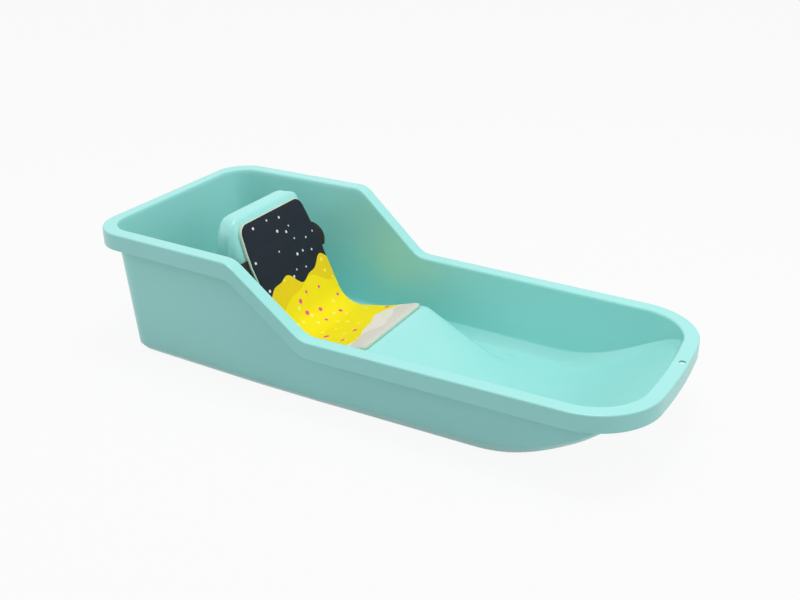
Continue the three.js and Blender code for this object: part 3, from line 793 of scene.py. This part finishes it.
tubSteps = {
    "sternArc": 10,
    "bowArc": 16,
    "round": 5,
    "columns": 19,
    "longest": 9,
    "behindSeat": (76, 85, 94, 103, 112, 121, 130, 138),
    "flatShares": (0, 0.3, 0.6, 0.85),
    "edgeDegrees": (0, 15, 30, 45, 68, 90),
    "sideShares": (0.12, 0.3, 0.6),
    "wallShares": (0, 0.03, 0.97),
    "creaseShares": (0, 0.05, 0.2, 0.4, 0.6, 0.8, 1),
    "hole": 48,
}


def rimHeightAt(x):
    pairs = [(tub["slopeTop"], tub["sternRim"]), (tub["slopeFoot"], tub["bowRim"])]
    return easedPairs(pairs, x, tub["kink"], (1, 2, 2, 2, 1))


def halfWidthAt(x):
    pairs = [(0, tub["sternHalf"]), (tub["slopeTop"], tub["beamHalf"]), (tub["slopeFoot"], tub["waistHalf"]),
             (tub["length"], tub["bowHalf"])]
    if x < tub["sideEase"]:
        return alongPairs(pairs, x)
    return easedPairs(pairs, x, tub["sideEase"], (1, 1, 1, 1, 1))


def undersideAt(x):
    # height and slope of the hull's underside, which is a cubic curve up to the bow
    along, heights = zip(*tub["ramp"])
    if x <= along[0]:
        return 0.0, 0.0
    low, high = 0.0, 1.0
    for _ in range(30):  # each round halves the stretch that holds x
        t = (low + high) / 2
        low, high = (t, high) if cubic(t, *along) < x else (low, t)
    return cubic(low, *heights), cubicSlope(low, *heights) / cubicSlope(low, *along)


def floorAt(x):
    height, slope = undersideAt(x)
    return height + tub["wall"] * math.hypot(1, slope)


def rearAt(z):
    return seat["rearFoot"] + (z - tub["wall"]) * tub["draft"]


def frontAt(z):
    return seat["corner"][0] - (z - seat["corner"][1]) * seat["recline"]


def makeSeatPath():
    wall, top = tub["wall"], seat["top"]
    return roundedPath([
        (seat["rearFoot"] - 2 * seat["toeRound"], wall),
        (seat["rearFoot"], wall, seat["toeRound"], 4),
        (rearAt(top), top, seat["topRound"], 7),
        (frontAt(top), top, seat["topRound"], 6),
        (*seat["corner"], 14),
        (*seat["bend"], 6),
        (*seat["crest"], 8),
        (*seat["toe"], 10),
        (tub["ramp"][0][0] - seat["toeRound"], wall),
    ])


def seatEdgeAt(x, z, nz):
    # half widths on top and at the foot, width and drop of the rounded edge, reach and rise of the toe
    height = max(z - tub["wall"], 0)
    spread = ease(x, *seat["spread"])
    seatShare = ease(x, frontAt(seat["top"]), seat["corner"][0])
    steepTop = mix(seat["backHalf"], seat["seatHalf"], seatShare)
    top = mix(steepTop, seat["crestHalf"], spread)
    foot = mix(steepTop + height * tub["draft"], seat["crestFoot"], spread)
    rearEnd, frontEnd = rearAt(seat["top"]) + seat["rearCorner"], frontAt(seat["top"]) + seat["topRound"] / 2
    backEdge = mix(seat["topEdge"], seat["backEdge"], ease(x, rearEnd, frontEnd))
    width = mix(mix(backEdge, seat["seatEdge"], seatShare), seat["crestEdge"], spread)
    drop = min(width / max(nz, seat["levelLeast"]), height * seat["edgeShare"])
    toe = mix(seat["sideToe"], seat["crestToe"], spread)
    return top, foot, width, drop, toe, min(toe, height * seat["toeShare"])


def seatSection(x, z, nz, base, edge):
    # half of a section across the seat: (y, z) from the middle out
    height = max(z - base, 0)
    top, foot, width, drop, toe, toeRise = seatEdgeAt(x, z, nz)
    flat = top - width
    points = [(flat * share, height) for share in tubSteps["flatShares"]]
    for degrees in tubSteps["edgeDegrees"]:
        angle = math.radians(degrees)
        points.append((flat + width * math.sin(angle), height - drop * (1 - math.cos(angle))))
    return closeSection(points, foot, toe, toeRise, base, edge)


def closeSection(points, foot, toe, toeRise, base, edge):
    # down the side, round the foot and out over the floor, which it never passes
    foot = min(foot, edge - toe - seat["floorGap"])
    last = points[-1]
    for share in tubSteps["sideShares"]:
        points.append((mix(last[0], foot, share), mix(last[1], toeRise, share)))
    for k in range(4):
        angle = k / 3 * quarterTurn
        points.append((foot + toe * (1 - math.cos(angle)), toeRise * (1 - math.sin(angle))))
    last = points[-1][0]
    points += [(mix(last, edge, share), 0) for share in (0.35, 0.7, 1)]
    return [(y, base + rise) for y, rise in points]


def backSideAt(z):
    # half the backrest's width near its rear face, which grows below the rounded top corners
    turn = seat["top"] - seat["topEdge"]
    return seat["backHalf"] + seat["top"] * tub["draft"] * clamp((turn - z) / (turn - tub["wall"]))


def backSection(z, base, edge):
    # the same across the rear face: its outline from behind, with round top corners, cut off at z
    width = seat["topEdge"]
    height, turn = max(z - base, 0), seat["top"] - width - base
    level = (height - turn) / width
    flat = backSideAt(z) - width
    points = [(flat * share, height) for share in tubSteps["flatShares"]]
    low = min(level, 0) - 0.4 * clamp(height / 60)
    for u, v in ((0, level), (0.27, level), (0.58, level), (1, level), (1, mix(level, low, 0.5)), (1, low)):
        if v > 0:
            size = max(u, v) / math.hypot(u, v)
            u, v = u * size, v * size
        rise = turn + v * width
        points.append((backSideAt(base + rise) - width + u * width, rise))
    toe = seat["sideToe"]
    return closeSection(points, backSideAt(base), toe, min(toe, height * seat["toeShare"]), base, edge)


def planLoop(band, stations):
    # one loop round the tub at a share of the rim's band: points with their outward normals
    stern = tub["bandStern"] * band
    bow = tub["length"] - tub["bowBulge"] - tub["bandBow"] * band
    inset = tub["bandSide"] * band
    sternRadius = mix(tub["sternCorner"], tub["innerSternCorner"], band)
    bowRadius = tub["bowCorner"] - tub["bandBow"] * band
    sternFlat = halfWidthAt(stern + sternRadius) - inset - sternRadius
    bowFlat = halfWidthAt(bow - bowRadius) - inset - bowRadius
    columns = tubSteps["columns"]
    half = [(stern, sternFlat * c / columns, -1, 0) for c in range(1, columns + 1)]
    for k in range(1, tubSteps["sternArc"] + 1):
        angle = k / tubSteps["sternArc"] * quarterTurn
        sine, cosine = math.sin(angle), math.cos(angle)
        half.append((stern + sternRadius * (1 - cosine), sternFlat + sternRadius * sine, -cosine, sine))
    half += [(station[0], halfWidthAt(station[0]) - inset, 0, 1) for station in stations]
    for k in range(tubSteps["bowArc"]):
        angle = k / tubSteps["bowArc"] * quarterTurn
        sine, cosine = math.sin(angle), math.cos(angle)
        half.append((bow - bowRadius * (1 - sine), bowFlat + bowRadius * cosine, sine, cosine))
    for c in range(columns, 0, -1):
        share = c / columns
        half.append((bow + tub["bowBulge"] * (1 - share * share), bowFlat * share, 1, 0))
    middle = [(bow + tub["bowBulge"], 0, 1, 0)]
    mirrored = [(x, -y, nx, -ny) for x, y, nx, ny in reversed(half)]
    return half + middle + mirrored + [(stern, 0, -1, 0)]


def rimRing(band, drop, stations):
    return [(x, y, rimHeightAt(x) - drop) for x, y, _, _ in planLoop(band, stations)]


def wallRings(stations):
    # the wall ends in a crease some way above the floor, and flares from there to the floor
    draft, rounding = tub["draft"], tub["edgeRound"]
    upper, lower = tubSteps["wallShares"], tubSteps["creaseShares"]
    rings = [[] for _ in upper + lower]
    for x, y, nx, ny in planLoop(1, stations):
        rim = rimHeightAt(x)
        depth = rim - floorAt(x)
        inset = depth * draft
        x1, y1 = x - nx * inset, y - ny * inset
        room = (depth - rounding) * tub["creaseRoom"]
        rise = min(alongPairs(tub["creases"], x), room)
        reach = min(tub["fillet"], room)
        x2, y2 = x1 - nx * reach, y1 - ny * reach
        z2 = floorAt(x2)
        start = (x1 + nx * rise * draft, y1 + ny * rise * draft, floorAt(x1) + rise)
        top = (x - nx * rounding * draft, y - ny * rounding * draft, rim - rounding)
        for ring, share in zip(rings, upper):
            ring.append(tuple(mix(a, b, share) for a, b in zip(top, start)))
        for ring, share in zip(rings[len(upper):], lower):
            height = mix(z2, start[2], (1 - share) ** tub["creasePower"])
            ring.append((mix(start[0], x2, share), mix(start[1], y2, share), height))
    return rings


def roundRearCorner(x, y, z):
    # the edge round the backrest's rear face is rounded, tightly on top and more down both sides
    over = abs(y) - seat["backHalf"] + seat["topEdge"]
    up = z - seat["top"] + seat["topEdge"]
    length = math.hypot(over, up)
    if up <= 0:
        depth, sideways, upward = backSideAt(z) - abs(y), 1, 0
    elif over <= 0:
        depth, sideways, upward = seat["top"] - z, 0, 1
    else:
        depth, sideways, upward = seat["topEdge"] - length, over / length, up / length
    radius = mix(seat["topRound"], seat["rearCorner"], ease(sideways, *seat["cornerTurn"]))
    a = (radius - (x - rearAt(z))) / radius
    b = (radius - depth) / radius
    if a <= 0 or b <= 0:
        return x, y, z
    size = max(a, b, 1)
    pull = 1 - ease(size, *seat["cornerFade"])
    squeeze = mix(1, min(size / math.hypot(a, b), 1), pull)
    inward = radius * b * (1 - squeeze)
    x = rearAt(z) + radius * (1 - a * squeeze)
    return x, math.copysign(abs(y) - sideways * inward, y), z - upward * inward


def stationSection(x, station, base, edge):
    z, nz = station[1], station[3]
    if x <= rearAt(seat["top"]) + seat["rearCorner"]:
        return backSection(z, base, edge)
    return seatSection(x, z, nz, base, edge)


def floorRows(ring, stations):
    # the grid inside the last wall ring; its outer points are that ring's own
    count, columns = len(ring), tubSteps["columns"]
    bowMiddle = count // 2 - 1
    last = tubSteps["sternArc"] + len(stations) + tubSteps["bowArc"] + 1
    rows = []
    for r in range(last + 1):
        far = columns - 1 + r
        near = count - 2 - far
        x, edge = ring[far][0], ring[far][1]
        base = floorAt(x)
        index = r - 1 - tubSteps["sternArc"]
        onStation = 0 <= index < len(stations)
        section = stationSection(x, stations[index], base, edge) if onStation else None
        onSeat = ease(x, *seat["blendIn"]) * (1 - ease(x, *seat["blendOut"]))
        row = []
        for c in range(-columns, columns + 1):
            if c == columns:
                row.append(ring[far])
            elif c == -columns:
                row.append(ring[near])
            elif r == 0:
                row.append(ring[(c - 1) % count])
            elif r == last:
                row.append(ring[bowMiddle - c])
            else:
                y, z = edge * abs(c) / columns, base
                if section:
                    sectionY, sectionZ = section[abs(c)]
                    y, z = mix(y, sectionY, onSeat), mix(z, sectionZ, onSeat)
                row.append(roundRearCorner(x, math.copysign(y, c), z))
        rows.append(row)
    return rows


def makeStations():
    # places along the sled, each with its height and normal in the seat's side view
    sternTangent = tub["bandStern"] + tub["innerSternCorner"] + tub["edgeRound"]
    bowTangent = tub["length"] - tub["bowBulge"] - tub["bowCorner"]
    before = [(x, tub["wall"], 0, 1) for x in (sternTangent, *tubSteps["behindSeat"])]
    seatPoints = refined(makeSeatPath(), tubSteps["longest"])
    rampStart = seatPoints[-1][0]
    count = math.ceil((bowTangent - rampStart) / tubSteps["longest"])
    after = [mix(rampStart, bowTangent, k / count) for k in range(1, count)]
    return before + seatPoints + [(x, floorAt(x), 0, 1) for x in after]


def tubRings(stations):
    # from the floor's edge up the wall, over the rim and down the skirt
    edge, outer, side, steps = tub["edgeRound"], tub["outerRound"], tub["bandSide"], tubSteps["round"]
    turns = [(math.sin(k / steps * quarterTurn), math.cos(k / steps * quarterTurn)) for k in range(steps + 1)]
    spots = [(1 - edge / side * (1 - sine), edge * (1 - cosine)) for sine, cosine in reversed(turns[:-1])]
    spots += [(tub["bandSupport"], 0), (outer / side + tub["supportGap"], 0)]
    spots += [(outer / side * (1 - sine), outer * (1 - cosine)) for sine, cosine in turns]
    support, depth = tub["skirtSupport"], tub["skirtDepth"]
    spots += [(0, drop) for drop in (outer + support, depth - support, depth)]
    return wallRings(stations)[::-1] + [rimRing(band, drop, stations) for band, drop in spots]


def drillTowHole(shell):
    # the rope hole in the bow's rim, beside its middle
    deselectAll()
    spot = place(tub["length"] - tub["towInset"], tub["towAcross"], tub["bowRim"])
    bpy.ops.mesh.primitive_cylinder_add(vertices=tubSteps["hole"], radius=tub["towHole"] / 2 * mm,
                                        depth=tub["drill"] * mm, location=spot)
    drill = bpy.context.object
    hole = shell.modifiers.new("towHole", "BOOLEAN")
    hole.operation = "DIFFERENCE"
    hole.object = drill
    applyModifiers(shell)
    bpy.data.objects.remove(drill)


def addTub(material):
    stations = makeStations()
    rings = tubRings(stations)
    rows = [[place(*point) for point in row] for row in floorRows(rings[0], stations)]
    rings = [[place(*point) for point in ring] for ring in rings]
    shell = addSheet("tubShell", rows)
    for ring, nextRing in zip(rings, rings[1:]):
        extrudeTo(shell, selectOpenEdges, bpy.ops.mesh.extrude_edges_move, movesBetween([ring], [nextRing]))
    editWhole(shell, mergeDoubles, pointOutwards)
    # the wall goes on below, so the floor has to face up
    floorSpot = place(tub["slopeFoot"] + 300, 0, 5)
    nearest = min(shell.data.polygons, key=lambda face: (face.center - floorSpot).length)
    if nearest.normal.z < 0:
        editWhole(shell, bpy.ops.mesh.flip_normals)
    wall = shell.modifiers.new("wall", "SOLIDIFY")
    wall.thickness = tub["wall"] * mm
    wall.offset = -1
    applyModifiers(shell)
    drillTowHole(shell)
    smoothByAngle(shell, tub["smooth"])
    finishPiece(shell, "sled", ["tub"], material)


# Seat pad: a die-cut foam sheet and its printed face, laid over the backrest, the seat's corner and the crest

pad = {
    "low": 0.3,
    "foam": 5,
    "foamEdge": 0.7,
    "cover": 1,
    "coverGap": 0.05,
    "coverInset": 1.5,
    "coverEdge": 0.3,
    "topHalf": 83,
    "waistHalf": 92,
    "waistHeight": 168,
    "seatFall": 0.45,
    "frontHalf": 92.5,
    "topDrop": 11,
    "frontSetback": 5,
    "topCorner": 17,
    "frontCorner": 11,
    "columns": 28,
    "gather": 0.92,
    "longest": 5,
    "rolledEdge": 4,
    "rolledDrop": 0.7,
    "beltRise": 2.3,
    "beltBulge": 1.1,
    "beltFade": 5,
    "crown": 0.8,
    "crownReach": 30,
}


def makePadPath():
    top = seat["top"] - pad["topDrop"]
    bendX, bendZ, bendRound = seat["bend"]
    crestX, crestZ = seat["crest"][:2]
    frontX = crestX - pad["frontSetback"]
    frontZ = mix(bendZ, crestZ, (frontX - bendX) / (crestX - bendX))
    corners = [(frontAt(top), top), (*seat["corner"], 14), (bendX, bendZ, bendRound, 6), (frontX, frontZ)]
    return refined(roundedPath(corners), pad["longest"])


def cornerCut(radius, reach):
    # what a round corner takes off the half width, at this reach from the end
    rest = clamp(radius - reach, 0, radius)
    return radius - math.sqrt(radius * radius - rest * rest)


def padHalfAt(path, lengths, distance, inset):
    x = alongPath(path, lengths, distance)[0]
    pairs = [(path[0][0], pad["topHalf"]), (frontAt(pad["waistHeight"]), pad["waistHalf"]),
             (path[-1][0], pad["frontHalf"])]
    cut = cornerCut(pad["topCorner"] - inset, distance - inset)
    cut += cornerCut(pad["frontCorner"], lengths[-1] - inset - distance)
    return alongPairs(pairs, x) - inset - cut


def seatDrop(point, y):
    # how far the seat's rounded edge falls away below its side view path, square to it
    x, z, _, nz = point
    top, _, width, drop, _, _ = seatEdgeAt(x, z, nz)
    over = clamp((abs(y) - top + width) / width)
    return nz * drop * (1 - math.sqrt(1 - over * over))


def padRowsAt(whole, inset):
    # distances along the pad: close together at both ends, where its corners turn, and even between them
    stops = set()
    for k in range(8):
        share = 1 - math.cos(k / 7 * quarterTurn)
        stops.add(inset + (pad["topCorner"] - inset) * share)
        stops.add(whole - inset - pad["frontCorner"] * share)
    flat = whole - pad["topCorner"] - pad["frontCorner"]
    count = math.ceil(flat / pad["longest"])
    return sorted(stops | {pad["topCorner"] + flat * k / count for k in range(1, count)})


def padSheet(inset, low, high, overBelt=0, parallel=False):
    # a layer of the pad; parallel makes its underside follow its face
    path = makePadPath()
    lengths = pathLengths(path)
    whole = lengths[-1]
    beltMiddle = (seat["top"] - pad["topDrop"] - belt["frontHeight"]) / math.cos(math.atan(seat["recline"]))
    half = belt["width"] / 2
    grids = [], [], []
    for distance in padRowsAt(whole, inset):
        point = alongPath(path, lengths, distance)
        halfWidth = padHalfAt(path, lengths, distance, inset)
        onBelt = 1 - ease(abs(distance - beltMiddle), half, half + pad["beltFade"])
        row = []
        for c in range(-pad["columns"], pad["columns"] + 1):
            gather = quarterTurn * pad["gather"]
            y = halfWidth * math.sin(c / pad["columns"] * gather) / math.sin(gather)
            edge = min(halfWidth - abs(y), distance - inset, whole - inset - distance)
            rolled = (1 - clamp(edge / pad["rolledEdge"])) ** 2 * pad["rolledDrop"]
            level = clamp(edge / pad["crownReach"])
            crown = pad["crown"] * level * (2 - level) + onBelt * pad["beltBulge"]
            fall = seatDrop(point, y) * pad["seatFall"]
            under = crown - rolled if parallel else onBelt * overBelt
            outs = [out - fall for out in (low + under, high - rolled + crown)]
            lower, upper = [place(point[0] + point[2] * out, y, point[1] + point[3] * out) for out in outs]
            row.append((lower, upper, (distance * mm, y * mm)))
        addRow(grids, row)
    return grids


def finishPadLayer(layer, lower, upper, edge, node, material):
    thicken(layer, lower, upper)
    roundEdges(layer, edge)
    finishPiece(layer, "sled", [node], material)


def addPad(foamMaterial, printMaterial):
    foamTop = pad["low"] + pad["foam"]
    lower, upper, _ = padSheet(0, pad["low"], foamTop, pad["beltRise"])
    foamSheet = addSheet("seatPadFoam", lower)
    finishPadLayer(foamSheet, lower, upper, pad["foamEdge"], "pad_foam", foamMaterial)

    coverLow = foamTop + pad["coverGap"]
    lower, upper, places = padSheet(pad["coverInset"], coverLow, coverLow + pad["cover"], parallel=True)
    coverSheet = addSheet("seatPadCover", lower)
    setSheetMap(coverSheet, lower, places)
    finishPadLayer(coverSheet, lower, upper, pad["coverEdge"], "pad_cover", printMaterial)


# Safety belt: webbing round the backrest and under the pad, closed behind it by a side-release buckle

belt = {
    "width": 40,
    "thickness": 1.5,
    "gap": 0.3,
    "edge": 0.45,
    "frontHeight": 161,
    "rearHeight": 150,
    "sideSlack": 4,
    "cornerRound": 16,
    "bendAcross": 82,
    "bendDrop": 5,
    "sewnTail": 26,
    "freeTail": 68,
    "mergeStart": 3,
    "mergeLength": 9,
    "sideBulge": 8,
    "bulgeAcross": (92, 108),
    "bulgeDeep": (0.1, 0.5),
    "longest": 4,
    "columns": 10,
    "slackFrom": 40,
    "slackReach": (26, 13),
}
stitching = {
    "pitch": 2.6,
    "length": 1.05,
    "thread": 0.3,
    "inset": 4,
    "tailInset": 3,
    "overlap": 1,
    "rise": 0.05,
}
buckle = {
    "mouth": -10,
    "standOff": 0.6,
    "thickness": 12,
    "socketLength": 46,
    "plugLength": 28,
    "bar": 5,
    "barThickness": 4,
    "windowStart": 14,
    "socketEdge": 1.1,
    "plugEdge": 0.7,
    "prongEdge": 0.6,
}
# rib sizes are up the backrest, along the belt and out
ribs = {
    "pitch": 2.6,
    "sunk": 0.05,
    "socketFrom": 5,
    "socketSize": (26, 1.1, 0.9),
    "socketTaper": 3,
    "plugFrom": 4.5,
    "plugOut": 3.5,
    "plugSize": (24, 1.1, 0.8),
    "gripFrom": 3.6,
    "gripPitch": 1.9,
    "gripAcross": 19.9,
    "gripBulge": 0.9,
    "gripSize": (1.2, 0.8, 5.4),
}
keeper = {
    "across": 66,
    "length": 12,
    "wall": 1.35,
    "clearance": 0.6,
    "round": 0.3,
    "edge": 0.4,
    "columns": 8,
}


def makeBeltAxes():
    draft, recline = math.atan(tub["draft"]), math.atan(seat["recline"])
    rear = {
        "across": Vector((math.sin(draft), 0, math.cos(draft))),
        "out": Vector((-math.cos(draft), 0, math.sin(draft))),
        "middle": Vector((rearAt(belt["rearHeight"]), 0, belt["rearHeight"])),
    }
    front = {
        "across": Vector((-math.sin(recline), 0, math.cos(recline))),
        "out": Vector((-math.cos(recline), 0, -math.sin(recline))),
        "middle": Vector((frontAt(belt["frontHeight"]), 0, belt["frontHeight"])),
    }
    return rear, front


def beltPlace(rear, y, out, across):
    # from the buckle's own frame on the backrest's rear face
    point = rear["middle"] + rear["out"] * out + rear["across"] * across
    return place(point.x, y, point.z)


def beltLevels():
    # how far the belt, its tail and its fold round a bar stand off the backrest's rear face
    layer = belt["gap"] + belt["thickness"]
    lower = buckle["standOff"] + (buckle["thickness"] - buckle["barThickness"]) / 2 - layer
    return lower, lower + belt["thickness"] + layer, lower + buckle["barThickness"] + 2 * layer


def foldPlaces(side, end):
    # where the webbing folds round the bar at this end of the buckle, and where its tail lies flat again
    lower, _, fold = beltLevels()
    bar = end - side * (buckle["bar"] + (fold - lower) / 2)
    return bar, end + side * (belt["mergeStart"] + belt["mergeLength"])


def beltCorners(side, end, tailLength, spread):
    # half of the belt: from its tail round the bar and the backrest's side to the bend behind the pad
    lower, tail, fold = beltLevels()
    bar, merged = foldPlaces(side, end)
    far = -spread - belt["gap"]
    sideHeight = seat["top"] - belt["rearHeight"] + belt["width"] / 2
    reach = side * (seat["backHalf"] + belt["sideSlack"] + sideHeight * tub["draft"])
    foldRound, merge, corner = (fold - lower) / 2, belt["mergeLength"], belt["cornerRound"]
    return [
        (bar + side * tailLength, tail),
        (merged, tail, merge, 2),
        (merged - side * merge, fold, merge, 2),
        (bar, fold, foldRound, 7),
        (bar, lower, foldRound, 7),
        (reach, lower, corner, 9),
        (reach, far + belt["bendDrop"], corner, 9),
        (side * belt["bendAcross"], far, corner, 3),
    ]


def beltGrids(path, lengths, rear, front, spread):
    # the webbing turns from the rear face's lean to the seat side's on its way round the backrest
    twistEnd = spread - 2 * belt["bendDrop"]
    twistMiddle = front["middle"] + front["out"] * (spread - twistEnd)
    grids = [], [], []
    for (y, depth, ny, nOut), passed in zip(path, lengths):
        share = clamp(-depth / twistEnd)
        across = rear["across"].lerp(front["across"], share).normalized()
        out = rear["out"].lerp(front["out"], share).normalized()
        beyond = depth if depth > 0 else min(depth + twistEnd, 0)
        centre = rear["middle"].lerp(twistMiddle, share) + out * beyond
        # the slack stands off the backrest's side and its front edge, most near the middle of its width
        bulge = belt["sideBulge"] * ease(abs(y), *belt["bulgeAcross"]) * ease(share, *belt["bulgeDeep"])
        row = []
        for k in range(belt["columns"] + 1):
            widthShare = k / belt["columns"]
            width = (widthShare - 0.5) * belt["width"]
            swell = bulge * (1 - ((2 * widthShare - 0.9) / 1.1) ** 2)
            points = []
            for reach in (swell, swell + belt["thickness"]):
                point = centre + across * width + out * nOut * reach
                points.append(place(point.x, y + ny * reach, point.z))
            row.append((*points, (passed * mm, width * mm)))
        addRow(grids, row)
    return grids


def addBelt(material):
    rear, front = makeBeltAxes()
    spread = (front["middle"] - rear["middle"]).length
    plugSide = beltCorners(1, buckle["mouth"] + buckle["plugLength"], belt["freeTail"], spread)
    socketSide = beltCorners(-1, buckle["mouth"] - buckle["socketLength"], belt["sewnTail"], spread)
    path = refined(roundedPath(plugSide + socketSide[::-1]), belt["longest"])
    lengths = pathLengths(path)
    lower, upper, places = beltGrids(path, lengths, rear, front, spread)
    # behind the pad the webbing is parted, so that the half at the plug can follow the plug out
    middle = min((i for i in range(len(path)) if path[i][1] < -spread / 2), key=lambda i: abs(path[i][0]))
    for name, first, last in (("beltPlugHalf", 0, middle), ("beltSocketHalf", middle, len(path) - 1)):
        rows = slice(first, last + 1)
        half = addSheet(name, lower[rows])
        setSheetMap(half, lower[rows], places[rows])
        thicken(half, lower[rows], upper[rows])
        roundEdges(half, belt["edge"])
        finishPiece(half, "sled" if first else None, ["belt_webbing"], material)
        if not first:
            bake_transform(half)


def addStitching(material):
    # the box stitch that closes the sewn tail
    rear, _ = makeBeltAxes()
    bar, merged = foldPlaces(-1, buckle["mouth"] - buckle["socketLength"])
    low, high = bar - belt["sewnTail"] + stitching["tailInset"], merged + stitching["overlap"]
    reach = belt["width"] / 2 - stitching["inset"]
    level = beltLevels()[1] + belt["thickness"] + stitching["rise"]
    around = [(low, -reach), (high, -reach), (high, reach), (low, reach), (low, -reach), (high, reach)]
    deselectAll()
    bpy.ops.mesh.primitive_uv_sphere_add(segments=8, ring_count=6, radius=1)
    model = bpy.context.object
    size = Matrix.Diagonal((stitching["length"] * mm, stitching["thread"] * mm, stitching["thread"] * mm, 1))
    stitches = []
    for a, b in [*zip(around, around[1:]), ((high, -reach), (low, reach))]:
        angle = headingOf(a, b)
        along = Vector((0, math.cos(angle), 0)) + rear["across"] * math.sin(angle)
        turned = Matrix((along, rear["out"].cross(along), rear["out"])).transposed().to_4x4()
        count = max(1, round(distanceOf(a, b) / stitching["pitch"]))
        for k in range(count):
            share = (k + 0.5) / count
            centre = beltPlace(rear, mix(a[0], b[0], share), level, mix(a[1], b[1], share))
            stitch = model.copy()
            stitch.data = model.data.copy()
            bpy.context.collection.objects.link(stitch)
            stitch.data.transform(Matrix.Translation(centre) @ turned @ size)
            stitches.append(stitch)
    bpy.data.objects.remove(model)
    seam = joinPieces(stitches, "beltStitching")
    smoothByAngle(seam, 60)
    finishPiece(seam, "sled", [], material)


# Buckle: the CAD's plastic pieces with moulded edges, and ribs where fingers press

def addRib(rear, y, across, out, size):
    # one moulded rib: a small bar with all edges rounded
    deselectAll()
    bpy.ops.mesh.primitive_cube_add(size=1)
    rib = bpy.context.object
    rib.data.transform(Matrix.Diagonal((*[side * mm for side in size], 1)))
    roundEdges(rib, min(size) * 0.4, 3, smooth=50)
    turned = Matrix((rear["across"], Vector((0, 1, 0)), rear["out"])).transposed().to_4x4()
    rib.data.transform(Matrix.Translation(beltPlace(rear, y, out, across)) @ turned)
    return rib


def addBucklePiece(node, name, body, edge, pieceRibs, material):
    piece = bpy.data.objects.new(name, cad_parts[node].data.copy())
    bpy.context.collection.objects.link(piece)
    editWhole(piece, mergeDoubles, joinFlatFaces, pointOutwards)
    roundEdges(piece, edge, 3, 35)
    piece = joinPieces([piece] + pieceRibs, name)
    finishPiece(piece, body, [node], material)


def addBuckle(material):
    rear, _ = makeBeltAxes()
    mouth, pitch = buckle["mouth"], ribs["pitch"]
    middle = buckle["standOff"] + buckle["thickness"] / 2
    face = buckle["standOff"] + buckle["thickness"] - ribs["sunk"]
    start, (length, thickness, rise) = mouth - ribs["socketFrom"], ribs["socketSize"]
    sizes = [(length - ribs["socketTaper"] * k, thickness, rise) for k in range(3)]
    socketRibs = [addRib(rear, start - pitch * k, 0, face, size) for k, size in enumerate(sizes)]
    addBucklePiece("buckle_socket", "buckleSocket", "sled", buckle["socketEdge"], socketRibs, material)

    start, out = mouth + ribs["plugFrom"], middle + ribs["plugOut"]
    plugRibs = [addRib(rear, start + pitch * k, 0, out, ribs["plugSize"]) for k in range(3)]
    addBucklePiece("buckle_plug", "bucklePlug", "plug", buckle["plugEdge"], plugRibs, material)

    start = mouth - buckle["windowStart"] - ribs["gripFrom"]
    for side, label in ((1, "upper"), (-1, "lower")):
        grips = []
        for k in range(4):
            across = side * (ribs["gripAcross"] + ribs["gripBulge"] * math.sin((k + 1) / 5 * math.pi))
            grips.append(addRib(rear, start - ribs["gripPitch"] * k, across, middle, ribs["gripSize"]))
        name, body = "buckleProng" + label.title(), "prong_" + label
        addBucklePiece("buckle_prong_" + label, name, body, buckle["prongEdge"], grips, material)


# Keeper: a loop of ribbed elastic round both layers of the belt

def keeperOutline():
    # the inside of its section, with the way out at each point
    lower, tail, _ = beltLevels()
    radius = keeper["round"]
    half = belt["width"] / 2 + keeper["clearance"] - radius
    low, high = lower - keeper["clearance"], tail + keeper["clearance"]
    outline = []
    for across, out, start in ((half, low, -1), (half, high, 0), (-half, high, 1), (-half, low, 2)):
        for k in range(7):
            angle = (start + k / 6) * quarterTurn
            dx, dz = math.cos(angle), math.sin(angle)
            outline.append((across + radius * dx, out + radius * dz, dx, dz))
    return outline + outline[:1]


def addKeeper(material):
    rear, _ = makeBeltAxes()
    grids = [], []
    for across, out, dx, dz in keeperOutline():
        row = []
        for k in range(keeper["columns"] + 1):
            y = keeper["across"] + (k / keeper["columns"] - 0.5) * keeper["length"]
            outer = beltPlace(rear, y, out + dz * keeper["wall"], across + dx * keeper["wall"])
            row.append((beltPlace(rear, y, out, across), outer))
        addRow(grids, row)
    inner, outer = grids
    loop = addSheet("beltKeeper", inner)
    thicken(loop, inner, outer)
    # its ends meet, and close to one ring
    editWhole(loop, mergeDoubles, deleteInnerFaces, pointOutwards)
    roundEdges(loop, keeper["edge"])
    finishPiece(loop, "keeper", ["belt_keeper"], material)


addCamera()
for lamp in lamps:
    addLamp(*lamp)
addRoom()
addFloor()
print("studio ready")
tubPlastic = makeTubPlastic()
foam = makeFoam()
printed = makePrint()
webbing = makeWebbing()
thread = makeThread()
nylon = makeNylon()
elastic = makeElastic()
print("finishes ready")
addTub(tubPlastic)
print("tub ready")
addPad(foam, printed)
print("pad ready")
addBelt(webbing)
addStitching(thread)
print("belt ready")
addBuckle(nylon)
addKeeper(elastic)
print("buckle and keeper ready")
